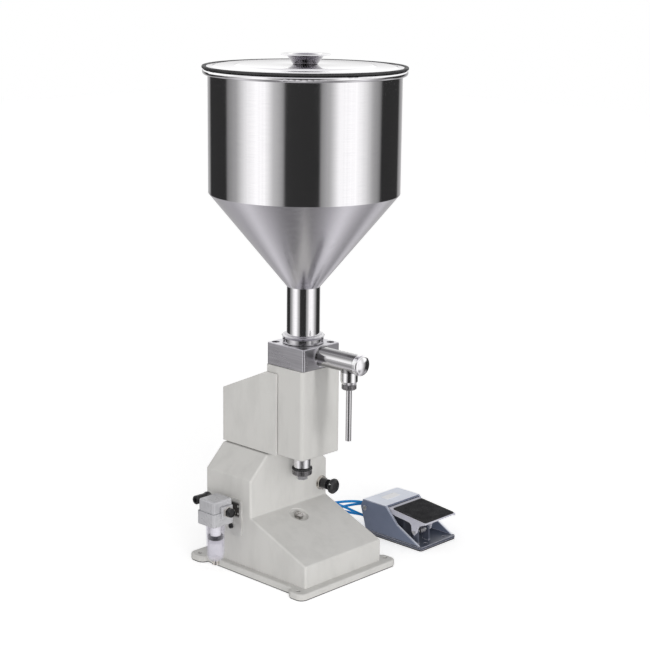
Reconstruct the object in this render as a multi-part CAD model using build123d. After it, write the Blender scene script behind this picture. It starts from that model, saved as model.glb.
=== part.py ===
from build123d import *
import math
import os

# Piston liquid filler: a table-top machine with a hopper, an air-driven piston
# pump and a foot valve. Millimetres. The origin is where the pump axis meets the
# floor. +X is the machine's right, -Y its front (the nozzle side), +Z is up.

# ---- Driving dimensions --------------------------------------------------

# Base: plate on a rubber mat, housing with a sloped table
MAT_THICK = 1.2
PLATE_TOP = 10.0
PLATE_HALF_X = 87.2
PLATE_FRONT = -96.6
PLATE_REAR = 133.0
EAR_REACH = 97.5
EAR_LENGTH = 30.6
EAR_HOLE_X = 88.0
EAR_HOLE_INSET = 15.3
EAR_HOLE_R = 3.5
WALL = 3.0
BASE_HALF_X = 76.4
BASE_FRONT = -83.0
BASE_REAR = 116.5
LOW_FRONT_TOP = 41.2
UPRIGHT_Y = 25.1
SLOPE_TOP = 83.6
ROOF = 168.7
ROOF_CHAMFER_X = 32.3
ROOF_CHAMFER_Z = 31.6
EDGE_R = 3.0

# Round recess in the sloped table, on the pump axis
CUP_R = 13.6
CUP_DEPTH = 5.0

# Column: square shell around the pump, hood behind it
SHELL_HALF_X = 37.8
SHELL_FRONT = -36.0
SHELL_REAR = 35.4
SHELL_BOTTOM = 171.2
SHELL_TOP = 297.5
SHELL_CORNER_R = 5.0
HOOD_HALF_X = 40.9
HOOD_FRONT = 11.2
HOOD_REAR = 120.8
HOOD_BOTTOM = 169.9
HOOD_TOP = 287.7
HOOD_SLOPE_START = 31.9
HOOD_REAR_TOP = 247.9
HOOD_WALL = 2.4

# Pump stack on the Z axis
CAP_TOP = 183.0
AIR_BORE_R = 25.0
AIR_TUBE_R = 29.0
MID_BOTTOM = 229.0
MID_TOP = 239.0
FILL_BORE_R = 20.0
FILL_TUBE_R = 25.0
TAIL_R = 11.8
ROD_R = 7.0
THREAD_R = 5.0
SLIP = 0.05          # radial running clearance of rods and pistons
AIR_PORTS = (190.0, 222.0)   # heights of the two air inlets of the air cylinder

# Valve block, outlet barrel and nozzle
BLOCK_HALF_X = 35.3
BLOCK_REAR = 35.1
BLOCK_TOP = 328.7
BOLT_PITCH = 26.7
OUTLET_Z = 315.2
BARREL_R = 13.5
BARREL_BORE_R = 10.0
BARREL_END = -104.0
END_CAP_TIP = -115.5
END_CAP_R = 14.2
END_CAP_DOME = 3.0   # height of the shallow dome on its front
NOZZLE_Y = -87.8
BOSS_R = 11.8
NOZZLE_R = 4.0
NOZZLE_NECK_R = 3.75   # thinner part of the pipe inside the nut and the boss
NOZZLE_BORE_R = 3.0
NOZZLE_TIP = 205.5
NUT_BOTTOM = 278.6
CHAMBER_R = 16.0

# Hopper and lid
COLLAR_R = 28.45
COLLAR_TOP = 340.7
NECK_R = 23.0
CONE_BOTTOM = 407.6
CONE_TOP = 537.4
HOPPER_R = 130.0
HOPPER_WALL = 1.5
RIM_TOP = 703.6
RIM_R = 137.2
LID_R = 136.2
GASKET_R = 137.9

# Push-pull valve on the upright face
KNOB_X = 65.0
KNOB_Z = 103.0

# Air filter on the left side
FILTER_X = -109.5
FILTER_Y = 61.0
FILTER_BOTTOM = 76.0
FILTER_SEAM = 95.5
FILTER_TOP = 113.0
FILTER_HALF_X = 19.0
FILTER_FRONT = 44.0
FILTER_REAR = 78.0
FILTER_CAP_INSET = 1.4   # the cap is that much smaller than the head all round
FRONT_PORT_Y = 40.5
PORT_X = -105.5
PORT_Z = 96.5
OUTLET_PORT_Z = 86.0
BRACKET_THICK = 2.5
BOWL_R = 13.5
BOWL_NECK_R = 12.2
DRAIN_R = 4.15
ELBOW_Y = 92.0
SUPPLY_BORE_R = 3.0
WALL_LEFT = -BASE_HALF_X

# Foot valve, standing to the right of the machine
PEDAL_LEFT = 162.0
PEDAL_RIGHT = 240.0
PEDAL_X = (PEDAL_LEFT + PEDAL_RIGHT) / 2
CHEEK = 3.5
PEDAL_TOP = 52.4
PIVOT_Y = -68.0
PIVOT_Z = 23.6
PIVOT_R = 2.5
TREADLE_REAR = -16.6
TREADLE_FRONT = -89.0
TREADLE_REAR_Z = 49.0
TREADLE_FRONT_Z = 42.0
PEDAL_MAT = 2.0
PEDAL_FLOOR = 6.0
LUG_X = (171.0, 195.0)
LUG_HALF = 1.5
TREADLE_LEFT = 167.0
TREADLE_RIGHT = 236.0
TREADLE_ARM = 198.0   # left face of the inner arm
PIN_ENDS = (165.6, 201.4)
PEDAL_HOLES = [(181.6, -78.0), (222.4, -78.0)]
PEDAL_SCREWS = [(189.0, 2.0), (213.0, 2.0)]
CHEEK_SCREW = (25.7, 39.4)
PLUNGER_Y = -27.0
PLUNGER_R = 5.0
PLUNGER_TOP = 45.6
HOSE_R = 2.0
PORT_BORE_R = 2.2
PORT_FACE = 30.0
PEDAL_PORTS = [(184.0, 37.5), (197.0, 32.0), (183.0, 16.0), (195.5, 12.5)]
HOSE_BENDS = [(138.0, 68.0, 42.5), (144.0, 74.0, 33.0), (150.0, 64.0, 36.0), (150.0, 70.0, 29.0)]

BOTTOM = (Align.CENTER, Align.CENTER, Align.MIN)
os.makedirs("parts", exist_ok=True)


# ---- Helpers -------------------------------------------------------------

def save(shape, node):
    """Write one node; a list becomes a group of separate solids."""
    if isinstance(shape, list):
        shape = Compound(children=shape)
    export_step(shape, f"parts/{node}.step")


def rod(radius, start, end):
    """Solid round bar between two points."""
    a, b = Vector(*start), Vector(*end)
    return Plane(origin=a, z_dir=b - a) * Cylinder(radius, (b - a).length, align=BOTTOM)


def ring(inner, outer, start, end):
    """Round tube between two points."""
    return rod(outer, start, end) - rod(inner, start, end)


def box(x0, x1, y0, y1, z0, z1):
    """Block between two corners."""
    return Pos(x0, y0, z0) * Box(x1 - x0, y1 - y0, z1 - z0, align=(Align.MIN,) * 3)


def hexagon(across_flats, start, end):
    """Hexagonal bar between two points."""
    a, b = Vector(*start), Vector(*end)
    outline = RegularPolygon(across_flats / 2, 6, major_radius=False)
    return Plane(origin=a, z_dir=b - a) * extrude(outline, (b - a).length)


def turned(*outline):
    """Body of revolution about Z from (radius, z) points."""
    return revolve(make_face(Plane.XZ * Polyline(*outline, close=True)), Axis.Z)


def side_prism(points, x0, x1):
    """Prism along X whose outline is given as (y, z) points."""
    face = make_face(Plane.YZ * Polyline(*points, close=True))
    return Pos(x0, 0, 0) * extrude(face, x1 - x0, dir=(1, 0, 0))


def inset(face, amount):
    """Polygon face moved inwards by amount, corners kept sharp."""
    return offset(face, -amount, kind=Kind.INTERSECTION)


def socket_screw(head_r, head_h, shank_r, length, key):
    """Cap screw, head underside at z = 0 and shank pointing down."""
    head = fillet(Cylinder(head_r, head_h, align=BOTTOM).edges().group_by(Axis.Z)[-1], head_r * 0.1)
    socket = hexagon(key, (0, 0, head_h * 0.4), (0, 0, head_h + 1))
    return head - socket + rod(shank_r, (0, 0, 0), (0, 0, -length))


def coil(radius, wire_r, bottom, top, turns, x=0.0, y=0.0):
    """Compression spring standing on Z, with its ends inside bottom and top."""
    height = top - bottom - 2 * wire_r
    path = Helix(height / turns, height, radius)
    wire = sweep(Plane(origin=path @ 0, z_dir=path % 0) * Circle(wire_r), path)
    return Pos(x, y, bottom + wire_r) * wire


def hose(points, radius, start_dir, end_dir):
    """Bent air hose through the given points."""
    path = Spline(*points, tangents=[start_dir, end_dir])
    return sweep(Plane(origin=path @ 0, z_dir=path % 0) * Circle(radius), path)


# ---- Base ----------------------------------------------------------------

def plate_outline(shrink=0.0):
    """Base plate outline: a rectangle with a round-ended ear at each corner."""
    mid_y = (PLATE_FRONT + PLATE_REAR) / 2
    depth = PLATE_REAR - PLATE_FRONT
    outline = Pos(0, mid_y) * RectangleRounded(2 * PLATE_HALF_X, depth, 8)
    for end in (PLATE_FRONT + EAR_LENGTH / 2, PLATE_REAR - EAR_LENGTH / 2):
        outline += Pos(0, end) * RectangleRounded(2 * EAR_REACH, EAR_LENGTH, 11)
    return offset(outline, -shrink) if shrink else outline


def ear_holes():
    """The four bolt hole centres in the ears, as (x, y)."""
    ends = (PLATE_FRONT + EAR_HOLE_INSET, PLATE_REAR - EAR_HOLE_INSET)
    return [(x, y) for x in (-EAR_HOLE_X, EAR_HOLE_X) for y in ends]


def housing_screw_places():
    """Where the four screws come up through the plate into the housing."""
    return [(x, y) for x in (-67.0, 67.0) for y in (-66.0, 98.0)]


def base_plate():
    plate = Pos(0, 0, MAT_THICK) * extrude(plate_outline(), PLATE_TOP - MAT_THICK)
    plate = fillet(plate.edges().group_by(Axis.Z)[-1], 2.5)
    plate = chamfer(plate.edges().group_by(Axis.Z)[0], 0.6)
    for x, y in ear_holes():
        plate -= rod(EAR_HOLE_R, (x, y, 0), (x, y, PLATE_TOP + 1))
    for x, y in housing_screw_places():
        plate -= rod(2.7, (x, y, 0), (x, y, PLATE_TOP + 1))
        plate -= rod(5.2, (x, y, 0), (x, y, MAT_THICK + 4.2))
    return plate


def base_mat():
    mat = extrude(plate_outline(0.8), MAT_THICK)
    for x, y in ear_holes():
        mat -= rod(EAR_HOLE_R + 0.5, (x, y, -1), (x, y, 3))
    return mat


def housing_screws():
    screw = socket_screw(4.5, 4.0, 2.5, 18, 4)
    turned_over = Rot(180, 0, 0) * screw
    return [Pos(x, y, MAT_THICK + 4.2) * turned_over for x, y in housing_screw_places()]


def housing_solid(shrink):
    """The housing's outer form, moved inwards by shrink."""
    side = make_face(Plane.YZ * Polyline(
        (BASE_FRONT, PLATE_TOP), (BASE_FRONT, LOW_FRONT_TOP), (UPRIGHT_Y, SLOPE_TOP),
        (UPRIGHT_Y, ROOF), (BASE_REAR, ROOF), (BASE_REAR, PLATE_TOP), close=True))
    shoulder_x = BASE_HALF_X - ROOF_CHAMFER_X
    shoulder_z = ROOF - ROOF_CHAMFER_Z
    front = make_face(Plane.XZ * Polyline(
        (-BASE_HALF_X, PLATE_TOP), (-BASE_HALF_X, shoulder_z), (-shoulder_x, ROOF),
        (shoulder_x, ROOF), (BASE_HALF_X, shoulder_z), (BASE_HALF_X, PLATE_TOP), close=True))
    if shrink:
        side = inset(side, shrink)
        front = inset(front, shrink)
    along_x = Pos(-100, 0, 0) * extrude(side, 200, dir=(1, 0, 0))
    along_y = Pos(0, -200, 0) * extrude(front, 400, dir=(0, 1, 0))
    return along_x & along_y


def slope_plane():
    """Plane of the sloped table where the pump axis crosses it, z outwards."""
    rise = SLOPE_TOP - LOW_FRONT_TOP
    run = UPRIGHT_Y - BASE_FRONT
    z = LOW_FRONT_TOP + rise * (5.0 - BASE_FRONT) / run
    return Plane(origin=(0, 5.0, z), x_dir=(1, 0, 0), z_dir=(0, -rise, run))


def bulkhead_places():
    """The four hose outlets in the right wall, as (y, z)."""
    return [(y, z) for y in (82.0, 100.0) for z in (44.0, 62.0)]


def base_housing():
    outer = housing_solid(0)
    bottom_edges = outer.edges().group_by(Axis.Z)[0]
    outer = fillet(outer.edges() - bottom_edges, EDGE_R)
    inner = housing_solid(WALL)
    hollow = inner + Pos(0, 0, -WALL) * inner
    shell = outer - hollow
    # Boss behind the table, with the round recess for the stop bolt
    local = slope_plane()
    boss = local * Cylinder(CUP_R + 3, CUP_DEPTH + 5, align=(Align.CENTER, Align.CENTER, Align.MAX))
    shell += boss & outer
    cup = local * Pos(0, 0, -CUP_DEPTH) * Cylinder(CUP_R, 20, align=BOTTOM)
    shell -= cup
    rim_edges = [e for e in shell.edges().filter_by(GeomType.CIRCLE)
                 if abs(e.radius - CUP_R) < 0.01]
    shell = fillet(rim_edges, 1.4)
    shell -= local * Cylinder(3.1, 40)
    # Bosses for the screws from below
    for x, y in housing_screw_places():
        shell += rod(7, (x, y, PLATE_TOP), (x, y, PLATE_TOP + 24)) & outer
        shell -= rod(2.5, (x, y, PLATE_TOP - 1), (x, y, PLATE_TOP + 14.5))
    # Holes: push-pull valve, filter nipple and bracket screws, hose outlets, roof
    shell -= rod(7.6, (KNOB_X, UPRIGHT_Y - 5, KNOB_Z), (KNOB_X, UPRIGHT_Y + 6, KNOB_Z))
    shell -= rod(6.2, (-BASE_HALF_X - 1, FILTER_Y, 86), (-BASE_HALF_X + 6, FILTER_Y, 86))
    for y, z in bracket_screw_places():
        shell -= rod(2.1, (-BASE_HALF_X - 1, y, z), (-BASE_HALF_X + 6, y, z))
    for y, z in bulkhead_places():
        shell -= rod(4.6, (BASE_HALF_X - 6, y, z), (BASE_HALF_X + 1, y, z))
    shell -= box(-14, 14, 76, 104, ROOF - 10, ROOF + 1)
    for x, y in bracket_foot_screws():
        shell -= rod(2.6, (x, y, ROOF - 10), (x, y, ROOF + 1))
    return shell


def stop_bolt():
    """Slotted hex bolt in the recess, under the tail rod."""
    head = hexagon(11.5, (0, 0, -CUP_DEPTH), (0, 0, 0.6))
    head &= turned((0, -9), (8, -9), (8, -0.6), (6.2, 0.6), (0, 0.6))
    head -= box(-8, 8, -0.8, 0.8, -0.8, 2)
    return slope_plane() * (head + rod(3, (0, 0, -CUP_DEPTH), (0, 0, -CUP_DEPTH - 16)))


def stop_bolt_nut():
    nut = hexagon(10, (0, 0, -CUP_DEPTH - 9.6), (0, 0, -CUP_DEPTH - 5.1))
    nut -= rod(3, (0, 0, -40), (0, 0, 0))
    return slope_plane() * nut


# ---- Column --------------------------------------------------------------

def column_shell():
    mid_y = (SHELL_FRONT + SHELL_REAR) / 2
    size_y = SHELL_REAR - SHELL_FRONT
    outer = Pos(0, mid_y) * RectangleRounded(2 * SHELL_HALF_X, size_y, SHELL_CORNER_R)
    inner = Pos(0, mid_y) * RectangleRounded(2 * SHELL_HALF_X - 2 * WALL, size_y - 2 * WALL, 2.5)
    shell = Pos(0, 0, SHELL_BOTTOM) * extrude(outer, SHELL_TOP - SHELL_BOTTOM)
    shell = fillet(shell.edges().group_by(Axis.Z)[0], 1.5)
    shell -= Pos(0, 0, SHELL_BOTTOM) * extrude(inner, SHELL_TOP - SHELL_BOTTOM)
    for x, z in wall_screw_places():
        shell -= rod(2.6, (x, SHELL_REAR - 6, z), (x, SHELL_REAR + 1, z))
    for z in AIR_PORTS:
        shell -= rod(4.6, (0, SHELL_REAR - 6, z), (0, SHELL_REAR + 1, z))
    return shell


def cap_square(z0, z1):
    """Square cap that fits inside the column shell."""
    mid_y = (SHELL_FRONT + SHELL_REAR) / 2
    side_x = 2 * (SHELL_HALF_X - WALL) - 0.2
    side_y = SHELL_REAR - SHELL_FRONT - 2 * WALL - 0.2
    return Pos(0, mid_y, z0) * extrude(RectangleRounded(side_x, side_y, 2.5), z1 - z0)


def bolt_axes():
    """The four long bolts that clamp the stack, as (x, y)."""
    return [(x, y) for x in (-BOLT_PITCH, BOLT_PITCH) for y in (-BOLT_PITCH, BOLT_PITCH)]


def lower_cap():
    """Bottom cap of the air cylinder; it guides the tail rod."""
    cap = cap_square(SHELL_BOTTOM, CAP_TOP)
    cap -= rod(TAIL_R + 2, (0, 0, 0), (0, 0, 200))
    for x, y in bolt_axes():
        cap -= rod(3, (x, y, SHELL_BOTTOM - 1), (x, y, CAP_TOP + 1))
    for x, z in wall_screw_places():
        if z < CAP_TOP:
            cap -= rod(2.5, (x, 18, z), (x, 40, z))
    return cap


def mid_plate():
    """Plate between the air cylinder and the filling cylinder."""
    plate = cap_square(MID_BOTTOM, MID_TOP)
    plate -= rod(ROD_R + 2, (0, 0, 0), (0, 0, 300))
    for x, y in bolt_axes():
        plate -= rod(3.2, (x, y, MID_BOTTOM - 1), (x, y, MID_TOP + 1))
    for x, z in wall_screw_places():
        if MID_BOTTOM < z < MID_TOP:
            plate -= rod(2.5, (x, 18, z), (x, 40, z))
    return plate


def rod_bushes():
    """Bronze guide bushes in the lower cap and the mid plate."""
    tail = ring(TAIL_R + SLIP, TAIL_R + 2, (0, 0, SHELL_BOTTOM), (0, 0, CAP_TOP - 3))
    upper = ring(ROD_R + SLIP, ROD_R + 2, (0, 0, MID_BOTTOM + 3), (0, 0, MID_TOP))
    return [tail, upper]


def rod_seals():
    """Rubber rod seals beside the bushes."""
    tail = ring(TAIL_R + 0.02, TAIL_R + 2, (0, 0, CAP_TOP - 3), (0, 0, CAP_TOP))
    upper = ring(ROD_R + 0.02, ROD_R + 2, (0, 0, MID_BOTTOM), (0, 0, MID_BOTTOM + 3))
    return [tail, upper]


def air_cylinder():
    tube = ring(AIR_BORE_R, AIR_TUBE_R, (0, 0, CAP_TOP), (0, 0, MID_BOTTOM))
    for z in AIR_PORTS:
        tube -= rod(3, (0, 20, z), (0, 40, z))
    return tube


def filling_cylinder():
    return ring(FILL_BORE_R, FILL_TUBE_R, (0, 0, MID_TOP), (0, 0, SHELL_TOP))


def wall_screw_places():
    """Screws from the bracket into the caps, as (x, z)."""
    return [(x, z) for x in (-20.0, 20.0) for z in (178.0, 234.0)]


def bracket_foot_screws():
    """Screws from the bracket's foot into the roof, as (x, y)."""
    return [(x, y) for x in (-21.5, 21.5) for y in (60.0, 92.0)]


def column_bracket():
    """Angle bracket in the hood: it carries the column on the roof."""
    rear = BASE_REAR - 8
    foot = box(-30, 30, SHELL_REAR, rear, ROOF, ROOF + 5)
    back = box(-30, 30, SHELL_REAR, SHELL_REAR + 8, ROOF, 262)
    ribs = [side_prism([(SHELL_REAR + 8, ROOF + 5), (SHELL_REAR + 8, 240), (100, ROOF + 5)], x, x + 4)
            for x in (-30, 26)]
    tabs = [box(x - 4, x + 4, rear - 6, rear, ROOF + 5, ROOF + 26) for x in (-22, 22)]
    bracket = foot + back + ribs + tabs
    for x, y in bracket_foot_screws():
        bracket -= rod(2.6, (x, y, ROOF - 1), (x, y, ROOF + 9))
    for x, z in wall_screw_places():
        bracket -= rod(2.6, (x, 30, z), (x, 50, z))
    for z in AIR_PORTS:
        bracket -= rod(6, (0, 30, z), (0, 50, z))
    for x in (-22, 22):
        bracket -= rod(2, (x, rear - 9, ROOF + 18), (x, rear + 3, ROOF + 18))
    bracket -= box(-14, 14, 76, 104, ROOF - 1, ROOF + 10)
    return bracket


def bracket_screws():
    screw = socket_screw(4, 4, 2.5, 13, 4)
    foot = [Pos(x, y, ROOF + 5) * screw for x, y in bracket_foot_screws()]
    lying = Rot(-90, 0, 0) * socket_screw(4, 4, 2.5, 19, 4)
    wall = [Pos(x, SHELL_REAR + 8, z) * lying for x, z in wall_screw_places()]
    return foot + wall


def foot_nuts():
    """Nuts under the roof for the bracket's foot screws."""
    nuts = []
    for x, y in bracket_foot_screws():
        nut = hexagon(8, (x, y, ROOF - WALL - 3), (x, y, ROOF - WALL))
        nuts.append(nut - rod(2.5, (x, y, 150), (x, y, 170)))
    return nuts


def rear_hood():
    """Sheet hood behind the column, open at the bottom and the front."""
    outline = make_face(Plane.YZ * Polyline(
        (HOOD_FRONT, HOOD_BOTTOM), (HOOD_FRONT, HOOD_TOP), (HOOD_SLOPE_START, HOOD_TOP),
        (HOOD_REAR, HOOD_REAR_TOP), (HOOD_REAR, HOOD_BOTTOM), close=True))
    outer = Pos(-HOOD_HALF_X, 0, 0) * extrude(outline, 2 * HOOD_HALF_X, dir=(1, 0, 0))
    outer = fillet(outer.edges().filter_by(Axis.Z).group_by(Axis.Y)[-1], 3)
    half = HOOD_HALF_X - HOOD_WALL
    inner = Pos(-half, 0, 0) * extrude(inset(outline, HOOD_WALL), 2 * half, dir=(1, 0, 0))
    hood = outer - inner - Pos(0, -5, 0) * inner - Pos(0, 0, -5) * inner - Pos(0, -5, -5) * inner
    gap = 0.3
    hood -= box(-SHELL_HALF_X - gap, SHELL_HALF_X + gap, HOOD_FRONT - 5, SHELL_REAR + gap, 160, 300)
    for x in (-22, 22):
        hood -= rod(2.2, (x, HOOD_REAR - 6, ROOF + 18), (x, HOOD_REAR + 1, ROOF + 18))
    return hood


def hood_gasket():
    """Rubber strip between the hood and the roof."""
    outer = box(-HOOD_HALF_X + 1.5, HOOD_HALF_X - 1.5, UPRIGHT_Y + EDGE_R + 1, BASE_REAR - EDGE_R - 1,
                ROOF, HOOD_BOTTOM)
    inner = box(-HOOD_HALF_X + 5, HOOD_HALF_X - 5, 0, BASE_REAR - EDGE_R - 4.5, ROOF, HOOD_BOTTOM)
    return outer - inner


def hood_screws():
    screw = Rot(-90, 0, 0) * socket_screw(3.5, 2.2, 2, 16, 2.5)
    return [Pos(x, HOOD_REAR, ROOF + 18) * screw for x in (-22, 22)]


# ---- Moving pump parts ---------------------------------------------------

AIR_PISTON = (187.5, 201.0)
AIR_GROOVES = (191.5, 197.0)
FILL_PISTON = (250.0, 268.0)
FILL_GROOVES = (254.5, 262.5)
THREAD_TOP = 147.0
NUT_TOP = 144.9
STOP_NUT_BOTTOM = 135.6
ROD_END = 128.7


def piston_rod():
    """One shaft: thread and tail below, air piston seat, thinner rod above."""
    return turned((0, ROD_END), (THREAD_R - 1, ROD_END), (THREAD_R, ROD_END + 1),
                  (THREAD_R, THREAD_TOP), (TAIL_R - 1, THREAD_TOP), (TAIL_R, THREAD_TOP + 1),
                  (TAIL_R, AIR_PISTON[0]), (ROD_R, AIR_PISTON[0]), (ROD_R, FILL_PISTON[0]),
                  (4, FILL_PISTON[0]), (4, FILL_PISTON[1] - 3), (0, FILL_PISTON[1] - 3))


def piston(span, radius, grooves):
    """Round piston with a square seal groove at each given height."""
    bottom, top = span
    body = turned((0, bottom), (radius - SLIP - 0.6, bottom), (radius - SLIP, bottom + 0.6),
                  (radius - SLIP, top - 0.6), (radius - SLIP - 0.6, top), (0, top))
    for z in grooves:
        body -= ring(radius - 3, radius + 1, (0, 0, z - 1.5), (0, 0, z + 1.5))
    return body


def air_piston():
    return piston(AIR_PISTON, AIR_BORE_R, AIR_GROOVES) - piston_rod()


def filling_piston():
    return piston(FILL_PISTON, FILL_BORE_R, FILL_GROOVES) - piston_rod()


def piston_seals():
    """Lip seals in the grooves of both pistons."""
    seals = []
    for radius, grooves in ((AIR_BORE_R, AIR_GROOVES), (FILL_BORE_R, FILL_GROOVES)):
        for z in grooves:
            seals.append(ring(radius - 3, radius - 0.02, (0, 0, z - 1.4), (0, 0, z + 1.4)))
    return seals


def bumper_ring():
    """Rubber ring that meets the column at the end of the stroke."""
    return ring(THREAD_R, 14.4, (0, 0, NUT_TOP + 0.2), (0, 0, THREAD_TOP))


def flutes(shape, count, radius, flute_r, center_y, z0, z1):
    """Cut upright flutes around a round nut."""
    for i in range(count):
        angle = 2 * math.pi * i / count
        x, y = radius * math.cos(angle), center_y + radius * math.sin(angle)
        shape -= rod(flute_r, (x, y, z0), (x, y, z1))
    return shape


def stop_nut():
    """Knurled nut that sets the length of the stroke."""
    bore, z0, z1 = THREAD_R + SLIP, STOP_NUT_BOTTOM, NUT_TOP
    nut = turned((bore, z0), (10.5, z0), (13.4, z0 + 1.8), (14, z0 + 2.4), (14, z1 - 0.8), (13.2, z1),
                 (bore, z1))
    for z in (z0 + 3.9, z0 + 6.1):
        nut -= ring(12.9, 15, (0, 0, z), (0, 0, z + 0.8))
    return flutes(nut, 30, 14.4, 0.7, 0, z0 - 1, z1 + 1)


def lock_nut():
    nut = hexagon(14, (0, 0, 130.2), (0, 0, 135.2))
    return nut - rod(THREAD_R, (0, 0, 120), (0, 0, 140))


# ---- Valve block and outlet ----------------------------------------------

def valve_block():
    mid_y = (SHELL_FRONT + BLOCK_REAR) / 2
    outline = RectangleRounded(2 * BLOCK_HALF_X, BLOCK_REAR - SHELL_FRONT, 2.6)
    block = Pos(0, mid_y, SHELL_TOP) * extrude(outline, BLOCK_TOP - SHELL_TOP)
    block = chamfer(block.edges().group_by(Axis.Z)[-1] + block.edges().group_by(Axis.Z)[0], 0.8)
    block -= rod(CHAMBER_R, (0, 0, SHELL_TOP - 1), (0, 0, BLOCK_TOP + 1))
    block -= rod(BARREL_BORE_R, (0, 0, OUTLET_Z), (0, SHELL_FRONT - 1, OUTLET_Z))
    for x, y in bolt_axes():
        block -= rod(3.3, (x, y, SHELL_TOP - 1), (x, y, BLOCK_TOP + 1))
        block -= rod(5.4, (x, y, BLOCK_TOP - 6.5), (x, y, BLOCK_TOP + 1))
    return block


def stack_bolts():
    """Four long bolts from the block down to the lower cap."""
    bolt = socket_screw(4.6, 5, 3, BLOCK_TOP - 6.5 - SHELL_BOTTOM - 2, 5)
    return [Pos(x, y, BLOCK_TOP - 6.5) * bolt for x, y in bolt_axes()]


def inlet_guide():
    """Spider in the block that guides the inlet valve's stem."""
    guide = ring(CHAMBER_R - 2.5, CHAMBER_R, (0, 0, 300.5), (0, 0, 304.5))
    guide += ring(2.5 + SLIP, 5.5, (0, 0, 300.5), (0, 0, 304.5))
    for i in range(3):
        spoke = box(4.5, CHAMBER_R - 2, -1.5, 1.5, 300.5, 304.5)
        guide += Rot(0, 0, 90 + 120 * i) * spoke
    return guide


def inlet_valve():
    """Poppet that lets liquid down from the hopper; it opens downwards."""
    return turned((0, 300), (2.5, 300), (2.5, 322), (12.5, 324), (13, 325), (13, 327),
                  (10.9, 329.1), (0, 329.1))


def inlet_seat():
    """Seat ring under the hopper neck."""
    return turned((10.95, 329.1), (13.2, 326.85), (15.9, 326.85), (15.9, 328.7), (NECK_R - 1.4, 328.7),
                  (NECK_R - 1.4, 332), (10.95, 332))


def inlet_spring():
    return coil(7.5, 0.7, 304.5, 322.3, 4)


def outlet_barrel():
    """Barrel from the block to the nozzle, with the nozzle boss under its end."""
    tube = turned((BARREL_BORE_R, -SHELL_FRONT), (15.2, -SHELL_FRONT), (15.2, 2.2 - SHELL_FRONT),
                  (14.4, 3 - SHELL_FRONT), (BARREL_R, 3 - SHELL_FRONT), (BARREL_R, -BARREL_END),
                  (BARREL_BORE_R, -BARREL_END))
    barrel = along_barrel(tube)
    boss = Pos(0, NOZZLE_Y, 0) * turned((0, 285.4), (9, 285.4), (10, 286), (BOSS_R, 290), (BOSS_R, 314),
                                        (0, 314))
    barrel += boss - rod(BARREL_R - 0.5, (0, SHELL_FRONT - 5, OUTLET_Z), (0, BARREL_END + 0.1, OUTLET_Z))
    barrel -= rod(6.2, (0, NOZZLE_Y, 280), (0, NOZZLE_Y, 312))
    return barrel


def end_cap():
    """Domed screw cap on the front end of the barrel."""
    height = BARREL_END - END_CAP_TIP
    corner = 2.4
    shoulder = height - END_CAP_DOME
    flat_r = END_CAP_R - corner
    outline = Polyline((0, 0), (BARREL_R - 1.2, 0), (BARREL_R - 1.2, 0.9), (END_CAP_R, 0.9),
                       (END_CAP_R, shoulder - corner))
    outline += RadiusArc((END_CAP_R, shoulder - corner), (flat_r, shoulder), -corner)
    dome_r = (flat_r ** 2 + END_CAP_DOME ** 2) / (2 * END_CAP_DOME)
    outline += RadiusArc((flat_r, shoulder), (0, height), -dome_r)
    outline += Line((0, height), (0, 0))
    dome = revolve(make_face(Plane.XZ * outline), Axis.Z)
    plug = rod(BARREL_BORE_R - 1.9, (0, 0, -5), (0, 0, 0.5))
    return Plane(origin=(0, BARREL_END, OUTLET_Z), z_dir=(0, -1, 0)) * (dome + plug)


def end_cap_seal():
    return ring(BARREL_BORE_R - 1.9, BARREL_BORE_R, (0, BARREL_END + 3.4, OUTLET_Z),
                (0, BARREL_END + 1.2, OUTLET_Z))


def along_barrel(shape):
    """Turn a shape built on Z so that +Z runs forwards along the barrel."""
    return Plane(origin=(0, 0, OUTLET_Z), x_dir=(1, 0, 0), z_dir=(0, -1, 0)) * shape


def outlet_seat():
    """Seat ring pressed in the barrel."""
    return along_barrel(turned((6, 42), (BARREL_BORE_R, 42), (BARREL_BORE_R, 46), (7.5, 46), (6, 44.5)))


def outlet_valve():
    """Poppet that lets liquid out; it opens forwards."""
    return along_barrel(turned((0, 43.5), (5, 43.5), (8.2, 46.7), (8.2, 48.5), (2, 50), (2, 66), (0, 66)))


def outlet_guide():
    """Spider in the barrel that guides the outlet valve's stem."""
    guide = ring(BARREL_BORE_R - 1.5, BARREL_BORE_R, (0, 0, 61), (0, 0, 64.5))
    guide += ring(2 + SLIP, 4, (0, 0, 61), (0, 0, 64.5))
    for i in range(3):
        guide += Rot(0, 0, 90 + 120 * i) * box(3.2, BARREL_BORE_R - 1, -1, 1, 61, 64.5)
    return along_barrel(guide)


def outlet_spring():
    return along_barrel(coil(5.2, 0.5, 50.2, 61, 4))


def nozzle_nut():
    """Knurled nut that holds the nozzle pipe in the boss."""
    bore = NOZZLE_R + 0.1
    nut = turned((bore, NUT_BOTTOM), (9.2, NUT_BOTTOM), (10.2, 279.6), (10.2, 284.6), (9.6, 285.3),
                 (bore, 285.3))
    return flutes(Pos(0, NOZZLE_Y, 0) * nut, 24, 10.7, 0.8, NOZZLE_Y, NUT_BOTTOM - 1, 286)


def nozzle_pipe():
    """Thin filling pipe with a collar that the nut traps."""
    shoulder = NUT_BOTTOM - 1
    pipe = turned((NOZZLE_BORE_R, NOZZLE_TIP), (NOZZLE_R, NOZZLE_TIP), (NOZZLE_R, shoulder),
                  (NOZZLE_NECK_R, shoulder + 0.3), (NOZZLE_NECK_R, 285.5), (6.1, 285.5), (6.1, 289),
                  (NOZZLE_NECK_R, 289), (NOZZLE_NECK_R, 296), (NOZZLE_BORE_R, 296))
    return Pos(0, NOZZLE_Y, 0) * pipe


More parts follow.
